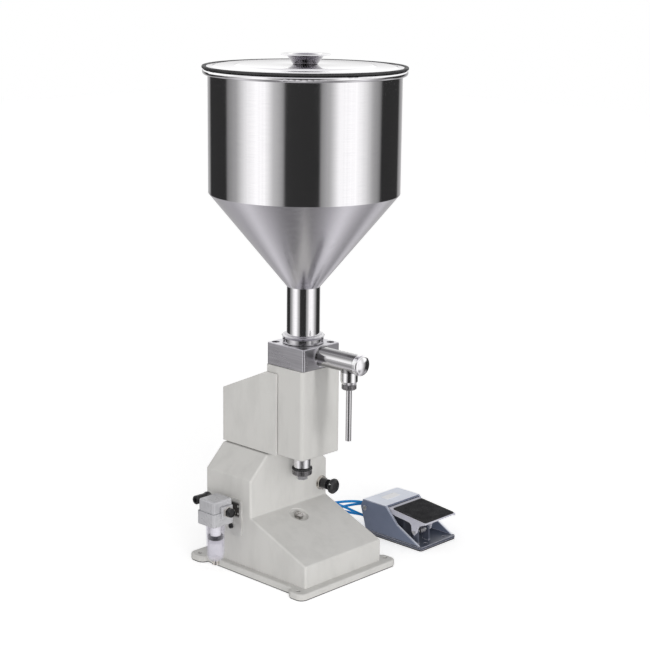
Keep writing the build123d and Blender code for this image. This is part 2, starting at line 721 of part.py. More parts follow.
def nozzle_seal():
    return ring(NOZZLE_NECK_R, 6.1, (0, NOZZLE_Y, 289), (0, NOZZLE_Y, 291.5))


# ---- Hopper and lid ------------------------------------------------------

def collar_seal():
    """Black ring under the hopper collar."""
    return ring(NECK_R + 0.2, COLLAR_R - 0.6, (0, 0, BLOCK_TOP), (0, 0, BLOCK_TOP + 0.8))


def hopper_collar():
    """Union ring that clamps the hopper neck on the block."""
    z0 = BLOCK_TOP + 0.8
    return turned((NECK_R + 0.05, z0), (COLLAR_R, z0), (COLLAR_R, COLLAR_TOP - 4.4),
                  (COLLAR_R + 1.3, COLLAR_TOP - 1.6), (COLLAR_R + 0.4, COLLAR_TOP - 0.4),
                  (COLLAR_R - 2.6, COLLAR_TOP - 0.4), (COLLAR_R - 4.2, COLLAR_TOP - 2.6),
                  (NECK_R + 0.05, COLLAR_TOP - 2.6))


def hopper():
    """Thin spun hopper: neck, cone, drum and rolled rim."""
    t = HOPPER_WALL
    slope = (HOPPER_R - NECK_R) / (CONE_TOP - CONE_BOTTOM)
    shift = t * (math.hypot(1, slope) - slope)
    bead_r = (RIM_R - HOPPER_R + t) / 2
    bead_z = RIM_TOP - bead_r
    outline = Polyline((NECK_R, BLOCK_TOP + 3.4), (NECK_R, CONE_BOTTOM), (HOPPER_R, CONE_TOP),
                       (HOPPER_R, bead_z))
    outline += Line((HOPPER_R, bead_z), (HOPPER_R - t, bead_z))
    outline += Polyline((HOPPER_R - t, bead_z), (HOPPER_R - t, CONE_TOP + shift),
                        (NECK_R - t, CONE_BOTTOM + shift), (NECK_R - t, BLOCK_TOP + 3.4),
                        (NECK_R, BLOCK_TOP + 3.4))
    skin = revolve(make_face(Plane.XZ * outline), Axis.Z)
    bead_x = HOPPER_R - t + bead_r
    bead = revolve(Plane.XZ * Pos(bead_x, bead_z) * Circle(bead_r), Axis.Z)
    inside = revolve(Plane.XZ * Pos(bead_x, bead_z) * Circle(bead_r - t * 0.8), Axis.Z)
    return skin + bead - inside


def lid():
    """Shallow pressed lid with a raised middle."""
    t = 1.0
    top = [(LID_R, 706.0), (124, 706.0), (119, 706.9), (96, 707.2), (90, 708.6), (30, 709.2), (4.1, 709.2)]
    under = [(r, z - t) for r, z in reversed(top)]
    return turned(*top, *under)


def lid_gasket():
    """Black silicone edging around the lid's rim."""
    body = turned((131.5, RIM_TOP), (GASKET_R - 0.6, RIM_TOP), (GASKET_R, RIM_TOP + 0.8),
                  (GASKET_R, 706.3), (GASKET_R - 0.8, 707.0), (134.6, 707.0), (134.0, 706.0),
                  (131.5, 706.0))
    slot = ring(120, LID_R, (0, 0, 705.0), (0, 0, 706.0))
    return body - slot


def lid_knob():
    """Spun cup-shaped knob with a thin flange on top."""
    return turned((4.1, 709.2), (16.4, 709.2), (17.2, 710.0), (24.4, 720.2), (26.2, 721.0), (32.6, 721.2),
                  (33.9, 721.8), (33.9, 722.3), (33.0, 722.8), (22, 722.8), (20.5, 722.0), (17.0, 716.0),
                  (4.1, 716.0))


def lid_screw():
    """Screw and nut that hold the knob on the lid."""
    screw = Pos(0, 0, 716.0) * socket_screw(6, 3, 4, 12.5, 5)
    nut = hexagon(13, (0, 0, 703.7), (0, 0, 708.2)) - rod(4, (0, 0, 700), (0, 0, 710))
    return [screw, nut]


# ---- Push-pull valve -----------------------------------------------------

def knob_point(y):
    """Point on the push-pull valve's axis."""
    return (KNOB_X, y, KNOB_Z)


def hand_valve():
    """Valve body behind the wall, with its black threaded sleeve in front."""
    body = box(KNOB_X - 7.5, KNOB_X + 7.5, UPRIGHT_Y + WALL, 62, KNOB_Z - 9, KNOB_Z + 9)
    body += rod(7.5, knob_point(UPRIGHT_Y + WALL + 1), knob_point(10.5))
    body -= rod(4 + SLIP, knob_point(0), knob_point(56))
    body -= rod(2.4, (KNOB_X, 40, KNOB_Z - 3), (KNOB_X, 40, KNOB_Z - 12))
    body -= rod(2.4, (KNOB_X, 52, KNOB_Z - 3), (KNOB_X, 52, KNOB_Z - 12))
    return body


def hand_valve_nut():
    nut = hexagon(18, knob_point(UPRIGHT_Y), knob_point(UPRIGHT_Y - 4))
    washer = rod(10.4, knob_point(UPRIGHT_Y), knob_point(UPRIGHT_Y - 1))
    return nut + washer - rod(7.5, knob_point(30), knob_point(10))


def hand_valve_knob():
    """Mushroom knob with its stem and spool in one."""
    outline = [(0, 0), (5.5, 0.3), (9.3, 1.6), (11.2, 3.8), (11.0, 6.0), (8.6, 7.6), (5.2, 8.4), (4, 9.6),
               (4, 32), (2.2, 32), (2.2, 38), (4, 38), (4, 46), (0, 46)]
    return Plane(origin=knob_point(-4.2), x_dir=(1, 0, 0), z_dir=(0, 1, 0)) * turned(*outline)


# ---- Air filter ----------------------------------------------------------

def bracket_screw_places():
    """Screws through the filter bracket, as (y, z)."""
    return [(FILTER_Y, 64.0), (FILTER_Y + 12, 100.0)]


def filter_bracket():
    """Slotted plate and arm that stand the filter off the side wall."""
    outline = Pos(61, 78) * RectangleRounded(38, 54, 6)
    plate = Pos(WALL_LEFT, 0, 0) * extrude(Plane.YZ * outline, BRACKET_THICK, dir=(-1, 0, 0))
    for y, z in bracket_screw_places():
        plate -= rod(2.2, (-70, y, z), (-90, y, z))
    for z in (84.0, 95.0):
        plate -= box(-82, -70, 45, 52, z - 2.2, z + 2.2)
    return plate - rod(5.2, (-70, FILTER_Y, OUTLET_PORT_Z), (-90, FILTER_Y, OUTLET_PORT_Z))


def filter_screws():
    screw = Rot(0, -90, 0) * socket_screw(3.6, 3, 2, 9, 2.5)
    return [Pos(WALL_LEFT - BRACKET_THICK, y, z) * screw for y, z in bracket_screw_places()]


def filter_block(grow, z0, z1, corner):
    """Rounded rectangular block around the filter axis."""
    outline = RectangleRounded(2 * (FILTER_HALF_X + grow), FILTER_REAR - FILTER_FRONT + 2 * grow, corner)
    return Pos(FILTER_X, FILTER_Y, z0) * extrude(outline, z1 - z0)


def filter_head():
    """Lower half of the filter head, with its outlet port and the bowl's seat."""
    head = filter_block(0, FILTER_BOTTOM, FILTER_SEAM, 3)
    head = fillet(head.edges().group_by(Axis.Z)[0], 1.5)
    head += filter_block(-2.1, FILTER_SEAM, FILTER_SEAM + 0.9, 2.5)
    head -= rod(BOWL_NECK_R, (FILTER_X, FILTER_Y, 70), (FILTER_X, FILTER_Y, 84))
    head -= rod(5, (FILTER_X, FILTER_Y, OUTLET_PORT_Z), (FILTER_X + 20, FILTER_Y, OUTLET_PORT_Z))
    return head


def filter_cap():
    """Upper half of the filter head, with the front port's boss."""
    cap = filter_block(-FILTER_CAP_INSET, FILTER_SEAM + 0.9, FILTER_TOP, 3)
    cap = fillet(cap.edges().group_by(Axis.Z)[-1], 2.8)
    boss = box(PORT_X - 10, PORT_X + 10, FRONT_PORT_Y, FILTER_FRONT, 88.5, 104.5)
    cap += fillet(boss.edges().group_by(Axis.Y)[0], 1)
    cap += box(PORT_X - 8, PORT_X + 8, FILTER_FRONT, FILTER_FRONT + 4, FILTER_SEAM + 1.5, 103)
    return cap


def front_port_ring():
    """Hex ring of the fitting on the filter's front port."""
    y = FRONT_PORT_Y
    return hexagon(14, (PORT_X, y, PORT_Z), (PORT_X, y - 3.4, PORT_Z))


def port_plug():
    """Black push-in fitting on the front port, closed with a plug."""
    y = FRONT_PORT_Y - 3.4
    profile = turned((0, 0), (5.6, 0), (6.4, 0.8), (6.4, 5.2), (5.5, 6.2), (4.4, 6.2), (4.4, 5.4),
                     (0, 5.4))
    return Plane(origin=(PORT_X, y, PORT_Z), z_dir=(0, -1, 0)) * profile


def inlet_elbow():
    """Black elbow at the back: the air supply pushes into its open end."""
    y, z = ELBOW_Y, 104.0
    body = rod(5.5, (-98, FILTER_REAR - FILTER_CAP_INSET, z), (-98, y, z))
    body += Pos(-97, y, z + 0.5) * Sphere(6.8)
    outline = [(0, 0), (6.0, 0), (6.0, 5), (5.2, 5.6), (5.2, 7.4), (6.2, 8), (6.2, 12), (5.5, 12.6),
               (5.5, 14.6), (6.4, 15.2), (6.4, 20.4), (5.6, 21.4), (0, 21.4)]
    body += Plane(origin=(-98, y, z), z_dir=(-1, 0, 0)) * turned(*outline)
    return body - rod(SUPPLY_BORE_R, (-130, y, z), (-108, y, z))


def filter_nipple():
    """Hollow union that carries the air and the filter on the wall."""
    x0, z = FILTER_X + BOWL_NECK_R + 0.3, OUTLET_PORT_Z
    nipple = rod(5, (x0, FILTER_Y, z), (-62, FILTER_Y, z))
    head_face = FILTER_X + FILTER_HALF_X + 0.1
    nipple += hexagon(17, (head_face, FILTER_Y, z), (WALL_LEFT - BRACKET_THICK, FILTER_Y, z))
    return nipple - rod(3, (-130, FILTER_Y, z), (-50, FILTER_Y, z))


def nipple_nut():
    z = OUTLET_PORT_Z
    nut = hexagon(15, (WALL_LEFT + WALL, FILTER_Y, z), (WALL_LEFT + WALL + 4, FILTER_Y, z))
    return nut - rod(5, (-90, FILTER_Y, z), (-50, FILTER_Y, z))


def filter_bowl():
    """Clear bowl, open at the bottom around the drain."""
    profile = turned((BOWL_NECK_R, 84), (BOWL_NECK_R, FILTER_BOTTOM), (BOWL_R, FILTER_BOTTOM),
                     (BOWL_R, 67), (13.2, 66), (12.4, 30), (10.2, 23.5), (6, 20.6), (DRAIN_R + SLIP, 20.4),
                     (DRAIN_R + SLIP, 22.4), (5.6, 22.7), (8.8, 25.2), (10.7, 30.5), (11.7, 66),
                     (11.7, 74), (10.6, 76), (10.6, 84))
    return Pos(FILTER_X, FILTER_Y, 0) * profile


def filter_element():
    """White porous sleeve inside the bowl."""
    return ring(4, 7.5, (FILTER_X, FILTER_Y, 58.5), (FILTER_X, FILTER_Y, 84))


def filter_baffle():
    """Black baffle disc that keeps the caught water still."""
    disc = turned((0, 52.5), (9.5, 52.5), (11.2, 53.5), (11.2, 57.5), (9.5, 58.5), (0, 58.5))
    return Pos(FILTER_X, FILTER_Y, 0) * disc


def drain_cock():
    """Push-up drain pin under the bowl."""
    pin = turned((0, 14.6), (4.6, 14.6), (5.4, 15.4), (5.4, 17.6), (4.8, 18.2), (DRAIN_R, 18.2),
                 (DRAIN_R, 22.8), (4.9, 22.8), (4.9, 23.8), (0, 24.8))
    return Pos(FILTER_X, FILTER_Y, 0) * pin


# ---- Foot valve ----------------------------------------------------------

def cheek(x0, x1):
    """Side wall of the foot valve; the corners at the back are rounded."""
    outline = make_face(Plane.YZ * Polyline(
        (30.7, PEDAL_TOP), (34.9, 39.9), (27.5, 16.8), (24.5, PEDAL_FLOOR), (-81.7, PEDAL_FLOOR),
        (-38.1, 28.8), (-15.1, PEDAL_TOP), close=True))
    rear = outline.vertices().sort_by(Axis.Y)[-3:]
    outline = fillet(rear, 3)
    return Pos(x0, 0, 0) * extrude(outline, x1 - x0, dir=(1, 0, 0))


def pedal_housing():
    """Cast housing: two cheeks and the top between them."""
    left = cheek(PEDAL_LEFT, PEDAL_LEFT + CHEEK)
    left = chamfer(left.faces().sort_by(Axis.X)[0].edges(), 0.8)
    right = cheek(PEDAL_RIGHT - CHEEK, PEDAL_RIGHT)
    right = chamfer(right.faces().sort_by(Axis.X)[-1].edges(), 0.8)
    top = box(PEDAL_LEFT + 1, PEDAL_RIGHT - 1, -15.1, 29.6, PEDAL_TOP - 3, PEDAL_TOP)
    body = left + right + top
    y, z = CHEEK_SCREW
    for x0, x1 in ((PEDAL_LEFT - 1, PEDAL_LEFT + 5), (PEDAL_RIGHT - 5, PEDAL_RIGHT + 1)):
        body -= rod(2.6, (x0, y, z), (x1, y, z))
    return body


def pedal_outline(shrink):
    """Outline of the foot valve's base plate and of its mat."""
    x0, x1, y0, y1 = PEDAL_LEFT - 1.2, PEDAL_RIGHT + 0.8, -87.0, 27.0
    outline = RectangleRounded(x1 - x0 - 2 * shrink, y1 - y0 - 2 * shrink, 4 - shrink)
    return Pos((x0 + x1) / 2, (y0 + y1) / 2) * outline


def pedal_base():
    """Base plate with the lugs that hold the treadle's pin."""
    plate = Pos(0, 0, PEDAL_MAT) * extrude(pedal_outline(0), PEDAL_FLOOR - PEDAL_MAT)
    plate = chamfer(plate.edges().group_by(Axis.Z)[-1], 0.5)
    for x in LUG_X:
        x0, x1 = x - LUG_HALF, x + LUG_HALF
        lug = side_prism([(PIVOT_Y - 6, PEDAL_FLOOR), (PIVOT_Y + 6, PEDAL_FLOOR), (PIVOT_Y + 4.5, PIVOT_Z),
                          (PIVOT_Y - 4.5, PIVOT_Z)], x0, x1)
        plate += lug + rod(4.5, (x0, PIVOT_Y, PIVOT_Z), (x1, PIVOT_Y, PIVOT_Z))
        plate -= rod(PIVOT_R, (x0 - 1, PIVOT_Y, PIVOT_Z), (x1 + 1, PIVOT_Y, PIVOT_Z))
    for x, y in PEDAL_HOLES:
        plate -= rod(2.75, (x, y, 0), (x, y, 10))
    for x, y in PEDAL_SCREWS:
        plate -= rod(2.1, (x, y, 0), (x, y, 10))
        plate -= rod(4.1, (x, y, 0), (x, y, PEDAL_MAT + 1.8))
    return plate


def pedal_mat():
    mat = extrude(pedal_outline(0.2), PEDAL_MAT)
    for x, y in PEDAL_HOLES:
        mat -= rod(4, (x, y, -1), (x, y, 5))
    for x, y in PEDAL_SCREWS:
        mat -= rod(4.6, (x, y, -1), (x, y, 5))
    return mat


def pedal_screws():
    """Screws from below into the valve, and one through each cheek."""
    up = Rot(180, 0, 0) * socket_screw(4, 1.7, 2, 11, 2.5)
    below = [Pos(x, y, PEDAL_MAT + 1.8) * up for x, y in PEDAL_SCREWS]
    y, z = CHEEK_SCREW
    left = Pos(PEDAL_LEFT, y, z) * Rot(0, -90, 0) * socket_screw(4, 1.6, 2.5, 6, 3)
    right = Pos(PEDAL_RIGHT, y, z) * Rot(0, 90, 0) * socket_screw(4, 1.6, 2.5, 6, 3)
    return below + [left, right]


def pedal_valve():
    """Aluminium valve body under the cover, with its ports at the back."""
    body = box(178, 222, -38, PORT_FACE, PEDAL_FLOOR, 32)
    body += box(PEDAL_LEFT + CHEEK, PEDAL_RIGHT - CHEEK, 10, PORT_FACE, 18, 47)
    body -= rod(PLUNGER_R + SLIP, (PEDAL_X, PLUNGER_Y, 10), (PEDAL_X, PLUNGER_Y, 40))
    body -= rod(6.5, (PEDAL_X, PLUNGER_Y, 10), (PEDAL_X, PLUNGER_Y, 19))
    y, z = CHEEK_SCREW
    for x in (PEDAL_LEFT, PEDAL_RIGHT):
        body -= rod(2.5, (x - 6.5, y, z), (x + 6.5, y, z))
    for x, y in PEDAL_SCREWS:
        body -= rod(2, (x, y, 0), (x, y, 16))
    for x, z in PEDAL_PORTS:
        body -= rod(4, (x, PORT_FACE - 10, z), (x, PORT_FACE + 1, z))
    return body


def pedal_plunger():
    """Plunger the treadle pushes down; its foot is the valve spool."""
    profile = turned((0, 17.4), (6.2, 17.4), (6.2, 18.9), (PLUNGER_R, 18.9), (PLUNGER_R, 43.6),
                     (2.6, 45.2), (0, PLUNGER_TOP))
    return Pos(PEDAL_X, PLUNGER_Y, 0) * profile


def plunger_spring():
    return coil(3.6, 0.6, 10, 17.4, 3, PEDAL_X, PLUNGER_Y)


def treadle_arm(front):
    """Side outline of a treadle arm down to the pin, as (y, z) points."""
    return [(front, 40.0), (-77, 35), (-74, 29), (PIVOT_Y - 4.6, PIVOT_Z), (PIVOT_Y, PIVOT_Z - 4.8),
            (PIVOT_Y + 4.6, PIVOT_Z), (-62, 33), (-58.5, 36.4)]


def treadle():
    """Pressed steel treadle: plate, left skirt, inner arm and right flange."""
    rear, front = (TREADLE_REAR, TREADLE_REAR_Z), (TREADLE_FRONT, TREADLE_FRONT_Z)
    sheet = 2.2
    skirt = side_prism([rear, front, *treadle_arm(TREADLE_FRONT), (-46.3, 38.1), (-31, 39.6),
                        (TREADLE_REAR, 43)], TREADLE_LEFT, TREADLE_LEFT + 2)
    arm = side_prism([(-50, 44), (-82, 41), *treadle_arm(-82)], TREADLE_ARM, TREADLE_ARM + 2)
    flange = side_prism([rear, front, (TREADLE_FRONT, 38.5), (TREADLE_REAR, 45.5)],
                        TREADLE_RIGHT - 2, TREADLE_RIGHT)
    plate = side_prism([rear, front, (TREADLE_FRONT, TREADLE_FRONT_Z - sheet),
                        (TREADLE_REAR, TREADLE_REAR_Z - sheet)], TREADLE_LEFT, TREADLE_RIGHT)
    body = skirt + arm + flange + plate
    width = TREADLE_RIGHT - TREADLE_LEFT
    front_edge = [e for e in body.edges() if abs(e.length - width) < 0.1
                  and e.center().Z > TREADLE_FRONT_Z - 0.1 and e.center().Y < TREADLE_REAR - 1]
    body = fillet(front_edge, 1.0)
    pin_hole = rod(PIVOT_R + SLIP, (TREADLE_LEFT - 1, PIVOT_Y, PIVOT_Z), (TREADLE_RIGHT, PIVOT_Y, PIVOT_Z))
    return body - pin_hole


def treadle_pad():
    """Black rubber pad with raised studs, glued on the treadle."""
    fall = math.degrees(math.atan2(TREADLE_REAR_Z - TREADLE_FRONT_Z, TREADLE_REAR - TREADLE_FRONT))
    middle = (TREADLE_LEFT + TREADLE_RIGHT) / 2
    top = Plane(origin=(middle, TREADLE_FRONT, TREADLE_FRONT_Z), x_dir=(1, 0, 0),
                z_dir=Vector(0, -math.sin(math.radians(fall)), math.cos(math.radians(fall))))
    depth = 64.5
    pad = Pos(0, depth / 2 + 1.0, 0) * extrude(RectangleRounded(66, depth, 3), 1.6)
    return top * chamfer(pad.edges().group_by(Axis.Z)[-1], 0.4)


def treadle_pin():
    return rod(PIVOT_R, (PIN_ENDS[0], PIVOT_Y, PIVOT_Z), (PIN_ENDS[1], PIVOT_Y, PIVOT_Z))


def treadle_spring():
    """Torsion spring on the pin: one leg under the treadle, one on the base."""
    wire, pitch, turns, first_x = 0.8, 2.0, 4.5, 178.5
    radius = PIVOT_R + 1.6
    path = Helix(pitch, pitch * turns, radius)
    coils = sweep(Plane(origin=path @ 0, z_dir=path % 0) * Circle(wire), path)
    spring = Plane(origin=(first_x, PIVOT_Y, PIVOT_Z), x_dir=(0, 0, 1), z_dir=(1, 0, 0)) * coils
    last_x = first_x + pitch * turns
    legs = [((first_x, PIVOT_Y, PIVOT_Z + radius), (first_x, PIVOT_Y + 24, 43.0)),
            ((last_x, PIVOT_Y, PIVOT_Z - radius), (last_x, PIVOT_Y + 22, PEDAL_FLOOR + 1.2))]
    for root, tip in legs:
        spring += Pos(*root) * Sphere(wire) + rod(wire, root, tip)
    return spring


def pedal_fittings():
    """Push-in fittings at the back of the foot valve."""
    profile = turned((PORT_BORE_R, -8), (4, -8), (4, 0), (5, 0), (5, 4), (4.2, 5), (PORT_BORE_R, 5))
    return [Plane(origin=(x, PORT_FACE, z), x_dir=(1, 0, 0), z_dir=(0, 1, 0)) * profile
            for x, z in PEDAL_PORTS]


def wall_fittings():
    """Bulkhead fittings in the right wall."""
    profile = turned((PORT_BORE_R, -12), (4.5, -12), (4.5, WALL), (7, WALL), (7, WALL + 4),
                     (5, WALL + 4), (5, WALL + 8), (4.2, WALL + 9), (PORT_BORE_R, WALL + 9))
    return [Plane(origin=(BASE_HALF_X - WALL, y, z), x_dir=(0, 1, 0), z_dir=(1, 0, 0)) * profile
            for y, z in bulkhead_places()]


def pedal_hoses():
    """Blue air hoses between the machine and the foot valve."""
    x0 = BASE_HALF_X + 6
    hoses = []
    for (y, z), (x1, z1), bend in zip(bulkhead_places(), PEDAL_PORTS, HOSE_BENDS):
        points = [(x0, y, z), bend, (x1, PORT_FACE + 2, z1)]
        hoses.append(hose(points, HOSE_R, (1, 0, 0), (0, -1, 0)))
    return hoses


def inner_hoses():
    """Blue hoses inside the base: filter, push-pull valve and outlets."""
    valve_z = KNOB_Z - 8
    supply = hose([(-66, FILTER_Y, OUTLET_PORT_Z), (0, 70, 66), (KNOB_X, 40, valve_z)], HOSE_R,
                  (1, 0, 0), (0, 0, 1))
    inside_x = KNOB_X - 2
    first_y, first_z = bulkhead_places()[0]
    feed = hose([(KNOB_X, 52, valve_z), (KNOB_X - 20, 70, 54), (inside_x, first_y, first_z)], HOSE_R,
                (0, 0, -1), (1, 0, 0))
    lines = []
    for (y, z), x, port_z in zip(bulkhead_places()[1:3], (-7, 7), AIR_PORTS):
        path = [(inside_x, y, z), (x + 16, 92, 110), (x, 92, ROOF), (0, 52, port_z), (0, 30, port_z)]
        lines.append(hose(path, HOSE_R, (-1, 0, 0), (0, -1, 0)))
    return [supply, feed] + lines


# ---- Grouped pieces ------------------------------------------------------

def case_screws():
    """Screws of the base, the column bracket, the hood and the foot valve."""
    return housing_screws() + bracket_screws() + hood_screws() + pedal_screws()


def inside_nuts():
    return foot_nuts() + [stop_bolt_nut(), nipple_nut()]


def rubber_mats():
    return [base_mat(), pedal_mat()]


def cylinder_caps():
    return [lower_cap(), mid_plate()]


def cylinder_tubes():
    return [air_cylinder(), filling_cylinder()]


def rubber_seals():
    return rod_seals() + [hood_gasket(), collar_seal(), end_cap_seal(), nozzle_seal()]


def valve_guides():
    return [inlet_guide(), outlet_guide()]


def valve_seats():
    return [inlet_seat(), outlet_seat()]


def valve_springs():
    return [inlet_spring(), outlet_spring()]


def air_fittings():
    return [filter_nipple(), front_port_ring()] + wall_fittings() + pedal_fittings()


def pedal_springs():
    return [plunger_spring(), treadle_spring()]


def air_hoses():
    return pedal_hoses() + inner_hoses()


# ---- Write the parts -----------------------------------------------------

PARTS = [
    base_plate, rubber_mats, base_housing, case_screws, inside_nuts, stop_bolt, column_shell,
    cylinder_caps, cylinder_tubes, rod_bushes, rubber_seals, column_bracket, rear_hood,
    piston_rod, air_piston, filling_piston, piston_seals, bumper_ring, stop_nut, lock_nut,
    valve_block, stack_bolts, valve_guides, valve_seats, inlet_valve, valve_springs,
    outlet_barrel, end_cap, outlet_valve, nozzle_nut, nozzle_pipe,
    hopper_collar, hopper, lid, lid_gasket, lid_knob, lid_screw,
    hand_valve, hand_valve_nut, hand_valve_knob,
    filter_bracket, filter_screws, filter_head, filter_cap, port_plug, inlet_elbow, air_fittings,
    filter_bowl, filter_element, filter_baffle, drain_cock,
    pedal_housing, pedal_base, pedal_valve, pedal_plunger, pedal_springs, treadle, treadle_pad,
    treadle_pin, air_hoses,
]

for part in PARTS:
    save(part(), part.__name__)
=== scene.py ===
import math

import bmesh
import bpy
from mathutils import Matrix, Vector


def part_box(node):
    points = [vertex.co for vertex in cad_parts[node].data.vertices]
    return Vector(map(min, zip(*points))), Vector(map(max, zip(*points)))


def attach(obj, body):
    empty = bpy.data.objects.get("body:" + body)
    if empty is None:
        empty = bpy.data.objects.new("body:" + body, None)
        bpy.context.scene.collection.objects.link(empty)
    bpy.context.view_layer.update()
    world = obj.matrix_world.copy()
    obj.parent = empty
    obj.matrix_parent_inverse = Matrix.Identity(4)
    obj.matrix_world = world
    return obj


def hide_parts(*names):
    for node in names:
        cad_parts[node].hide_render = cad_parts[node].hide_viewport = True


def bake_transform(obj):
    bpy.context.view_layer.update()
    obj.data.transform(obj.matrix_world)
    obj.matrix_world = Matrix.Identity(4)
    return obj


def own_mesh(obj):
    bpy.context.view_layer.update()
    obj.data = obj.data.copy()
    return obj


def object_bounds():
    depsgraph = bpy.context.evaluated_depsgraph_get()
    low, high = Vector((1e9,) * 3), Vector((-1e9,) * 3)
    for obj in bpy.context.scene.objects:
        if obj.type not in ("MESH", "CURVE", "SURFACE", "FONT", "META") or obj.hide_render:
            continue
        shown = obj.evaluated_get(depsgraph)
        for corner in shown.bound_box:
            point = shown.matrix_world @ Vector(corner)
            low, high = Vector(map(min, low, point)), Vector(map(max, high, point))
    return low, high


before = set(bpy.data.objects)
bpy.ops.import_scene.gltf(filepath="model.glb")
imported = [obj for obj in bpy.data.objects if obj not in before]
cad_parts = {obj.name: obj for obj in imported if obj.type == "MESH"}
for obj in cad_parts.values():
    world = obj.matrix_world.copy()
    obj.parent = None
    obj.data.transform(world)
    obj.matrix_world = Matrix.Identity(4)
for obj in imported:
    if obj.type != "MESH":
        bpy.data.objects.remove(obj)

# Looks of the piston liquid filler. Metres, in the CAD frame: +Z up, -Y to the
# front, the pump and the hopper on the Z axis. CAD nodes keep their shape and
# get their materials here; a few pieces are rebuilt with finer detail.

MM = 0.001
CAD_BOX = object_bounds()
SCENE = bpy.context.scene
SCENE.view_settings.view_transform = "Standard"

# ---- Camera --------------------------------------------------------------

CAMERA_PLACE = (-1.5503, -1.5230, 0.8638)
CAMERA_YAW = -46.30       # degrees, 0 looks along +Y
CAMERA_PITCH = 13.23      # degrees down
CAMERA_ROLL = 0.64        # degrees
CAMERA_LENS = 89.6        # on a 36 mm sensor

# Places on the object, in the CAD frame
CONE_BOTTOM = 0.4076
CONE_TOP = 0.5374
OUTLET_Z = 0.3152                   # axis of the outlet barrel
BARREL_ROOT = -0.036                # where the barrel leaves the block
BARREL_BOSS_TOP = 0.3027            # the nozzle boss hangs from here
PAINTED_SHADE_Z = (0.080, 0.101)            # dark part of the filter's bracket, a painted shade
PAINTED_SHADE_Y = 0.0455                    # its front edge
FLOOR_TOP = 0.009                   # top of the foot valve's floor, with its rim; edges below it get a painted highlight

# Places used to build pieces, in millimetres
BARREL_END = -104.0                 # front face of the outlet barrel
TREADLE_FRONT = (-89.0, 42.0)       # (y, z) of the treadle's front edge
TREADLE_REAR = (-16.6, 49.0)        # (y, z) of its rear edge
LID_TOP = 709.2                     # flat middle of the lid, under the knob


def make_camera():
    """Three-quarter view from the front left, a little above the block."""
    yaw, pitch, roll = (math.radians(a) for a in (CAMERA_YAW, CAMERA_PITCH, CAMERA_ROLL))
    back = Vector((math.sin(yaw) * math.cos(pitch), -math.cos(yaw) * math.cos(pitch), math.sin(pitch)))
    level = Vector((math.cos(yaw), math.sin(yaw), 0))
    upright = back.cross(level)
    right = level * math.cos(roll) + upright * math.sin(roll)
    up = upright * math.cos(roll) - level * math.sin(roll)
    camera = bpy.data.objects.new("camera", bpy.data.cameras.new("camera"))
    camera.data.lens = CAMERA_LENS
    camera.data.sensor_width = 36
    camera.data.clip_end = 50
    turn = Matrix((right, up, back)).transposed().to_4x4()
    camera.matrix_world = Matrix.Translation(CAMERA_PLACE) @ turn
    SCENE.collection.objects.link(camera)
    SCENE.camera = camera


# ---- Shader helpers ------------------------------------------------------

def put(tree, socket, value):
    """Sets an input to a number, a colour or another node's output."""
    if isinstance(value, bpy.types.NodeSocket):
        tree.links.new(value, socket)
    elif isinstance(value, tuple) and socket.type == "RGBA" and len(value) == 3:
        socket.default_value = value + (1,)
    else:
        socket.default_value = value


def add(tree, kind, inputs=None, **settings):
    """A new shader node with its settings and inputs."""
    node = tree.nodes.new("ShaderNode" + kind)
    for key, value in settings.items():
        setattr(node, key, value)
    for key, value in (inputs or {}).items():
        put(tree, node.inputs[key], value)
    return node


def maths(tree, operation, a, b=0.0):
    """Result of a sum on numbers or sockets."""
    return add(tree, "Math", {0: a, 1: b}, operation=operation).outputs[0]


def ramp(tree, value, *stops):
    """Colour ramp through (place, grey or colour) stops."""
    node = add(tree, "ValToRGB", {"Fac": value})
    points = node.color_ramp.elements
    while len(points) < len(stops):
        points.new(1.0)
    for point, (place, shade) in zip(points, stops):
        point.position = place
        point.color = (*shade, 1) if isinstance(shade, tuple) else (shade, shade, shade, 1)
    return node.outputs["Color"]


def mix(tree, amount, a, b, blend="MIX"):
    """Mix of two colours."""
    node = add(tree, "Mix", {0: amount, 6: a, 7: b}, data_type="RGBA", blend_type=blend)
    return node.outputs[2]


def position(tree):
    """Place in the CAD frame, in metres."""
    return add(tree, "TexCoord").outputs["Object"]


def noise(tree, scale, stretch=(1, 1, 1), detail=3.0, rough=0.5):
    """Noise in the CAD frame; stretch squeezes it along each axis."""
    sized = add(tree, "Mapping", {"Vector": position(tree), "Scale": stretch}).outputs[0]
    inputs = {"Vector": sized, "Scale": scale, "Detail": detail, "Roughness": rough}
    return add(tree, "TexNoise", inputs).outputs["Fac"]


def turned_noise(tree, around, along, detail=4.0):
    """Noise in cylinder coordinates about the Z axis, for turned and spun metal."""
    x, y, z = add(tree, "SeparateXYZ", {0: position(tree)}).outputs
    angle = maths(tree, "ARCTAN2", y, x)
    square = maths(tree, "ADD", maths(tree, "MULTIPLY", x, x), maths(tree, "MULTIPLY", y, y))
    radius = maths(tree, "SQRT", square)
    parts = [maths(tree, "MULTIPLY", part, size)
             for part, size in ((angle, around), (radius, along), (z, along))]
    spread = add(tree, "CombineXYZ", dict(enumerate(parts))).outputs[0]
    inputs = {"Vector": spread, "Scale": 1.0, "Detail": detail}
    return add(tree, "TexNoise", inputs).outputs["Fac"]


def edge_mask(tree, radius):
    """0 on flat faces, rising to 1 near edges."""
    soft = add(tree, "Bevel", {"Radius": radius}, samples=4).outputs[0]
    normal = add(tree, "NewGeometry").outputs["Normal"]
    dot = add(tree, "VectorMath", {0: soft, 1: normal}, operation="DOT_PRODUCT").outputs["Value"]
    return span(tree, dot, 1.0, 0.8)


def finish_with(name, build):
    """A material whose shader inputs are what build(tree) returns."""
    material = bpy.data.materials.new(name)
    material.use_nodes = True
    tree = material.node_tree
    shader = tree.nodes["Principled BSDF"]
    for key, value in build(tree).items():
        put(tree, shader.inputs[key], value)
    return material


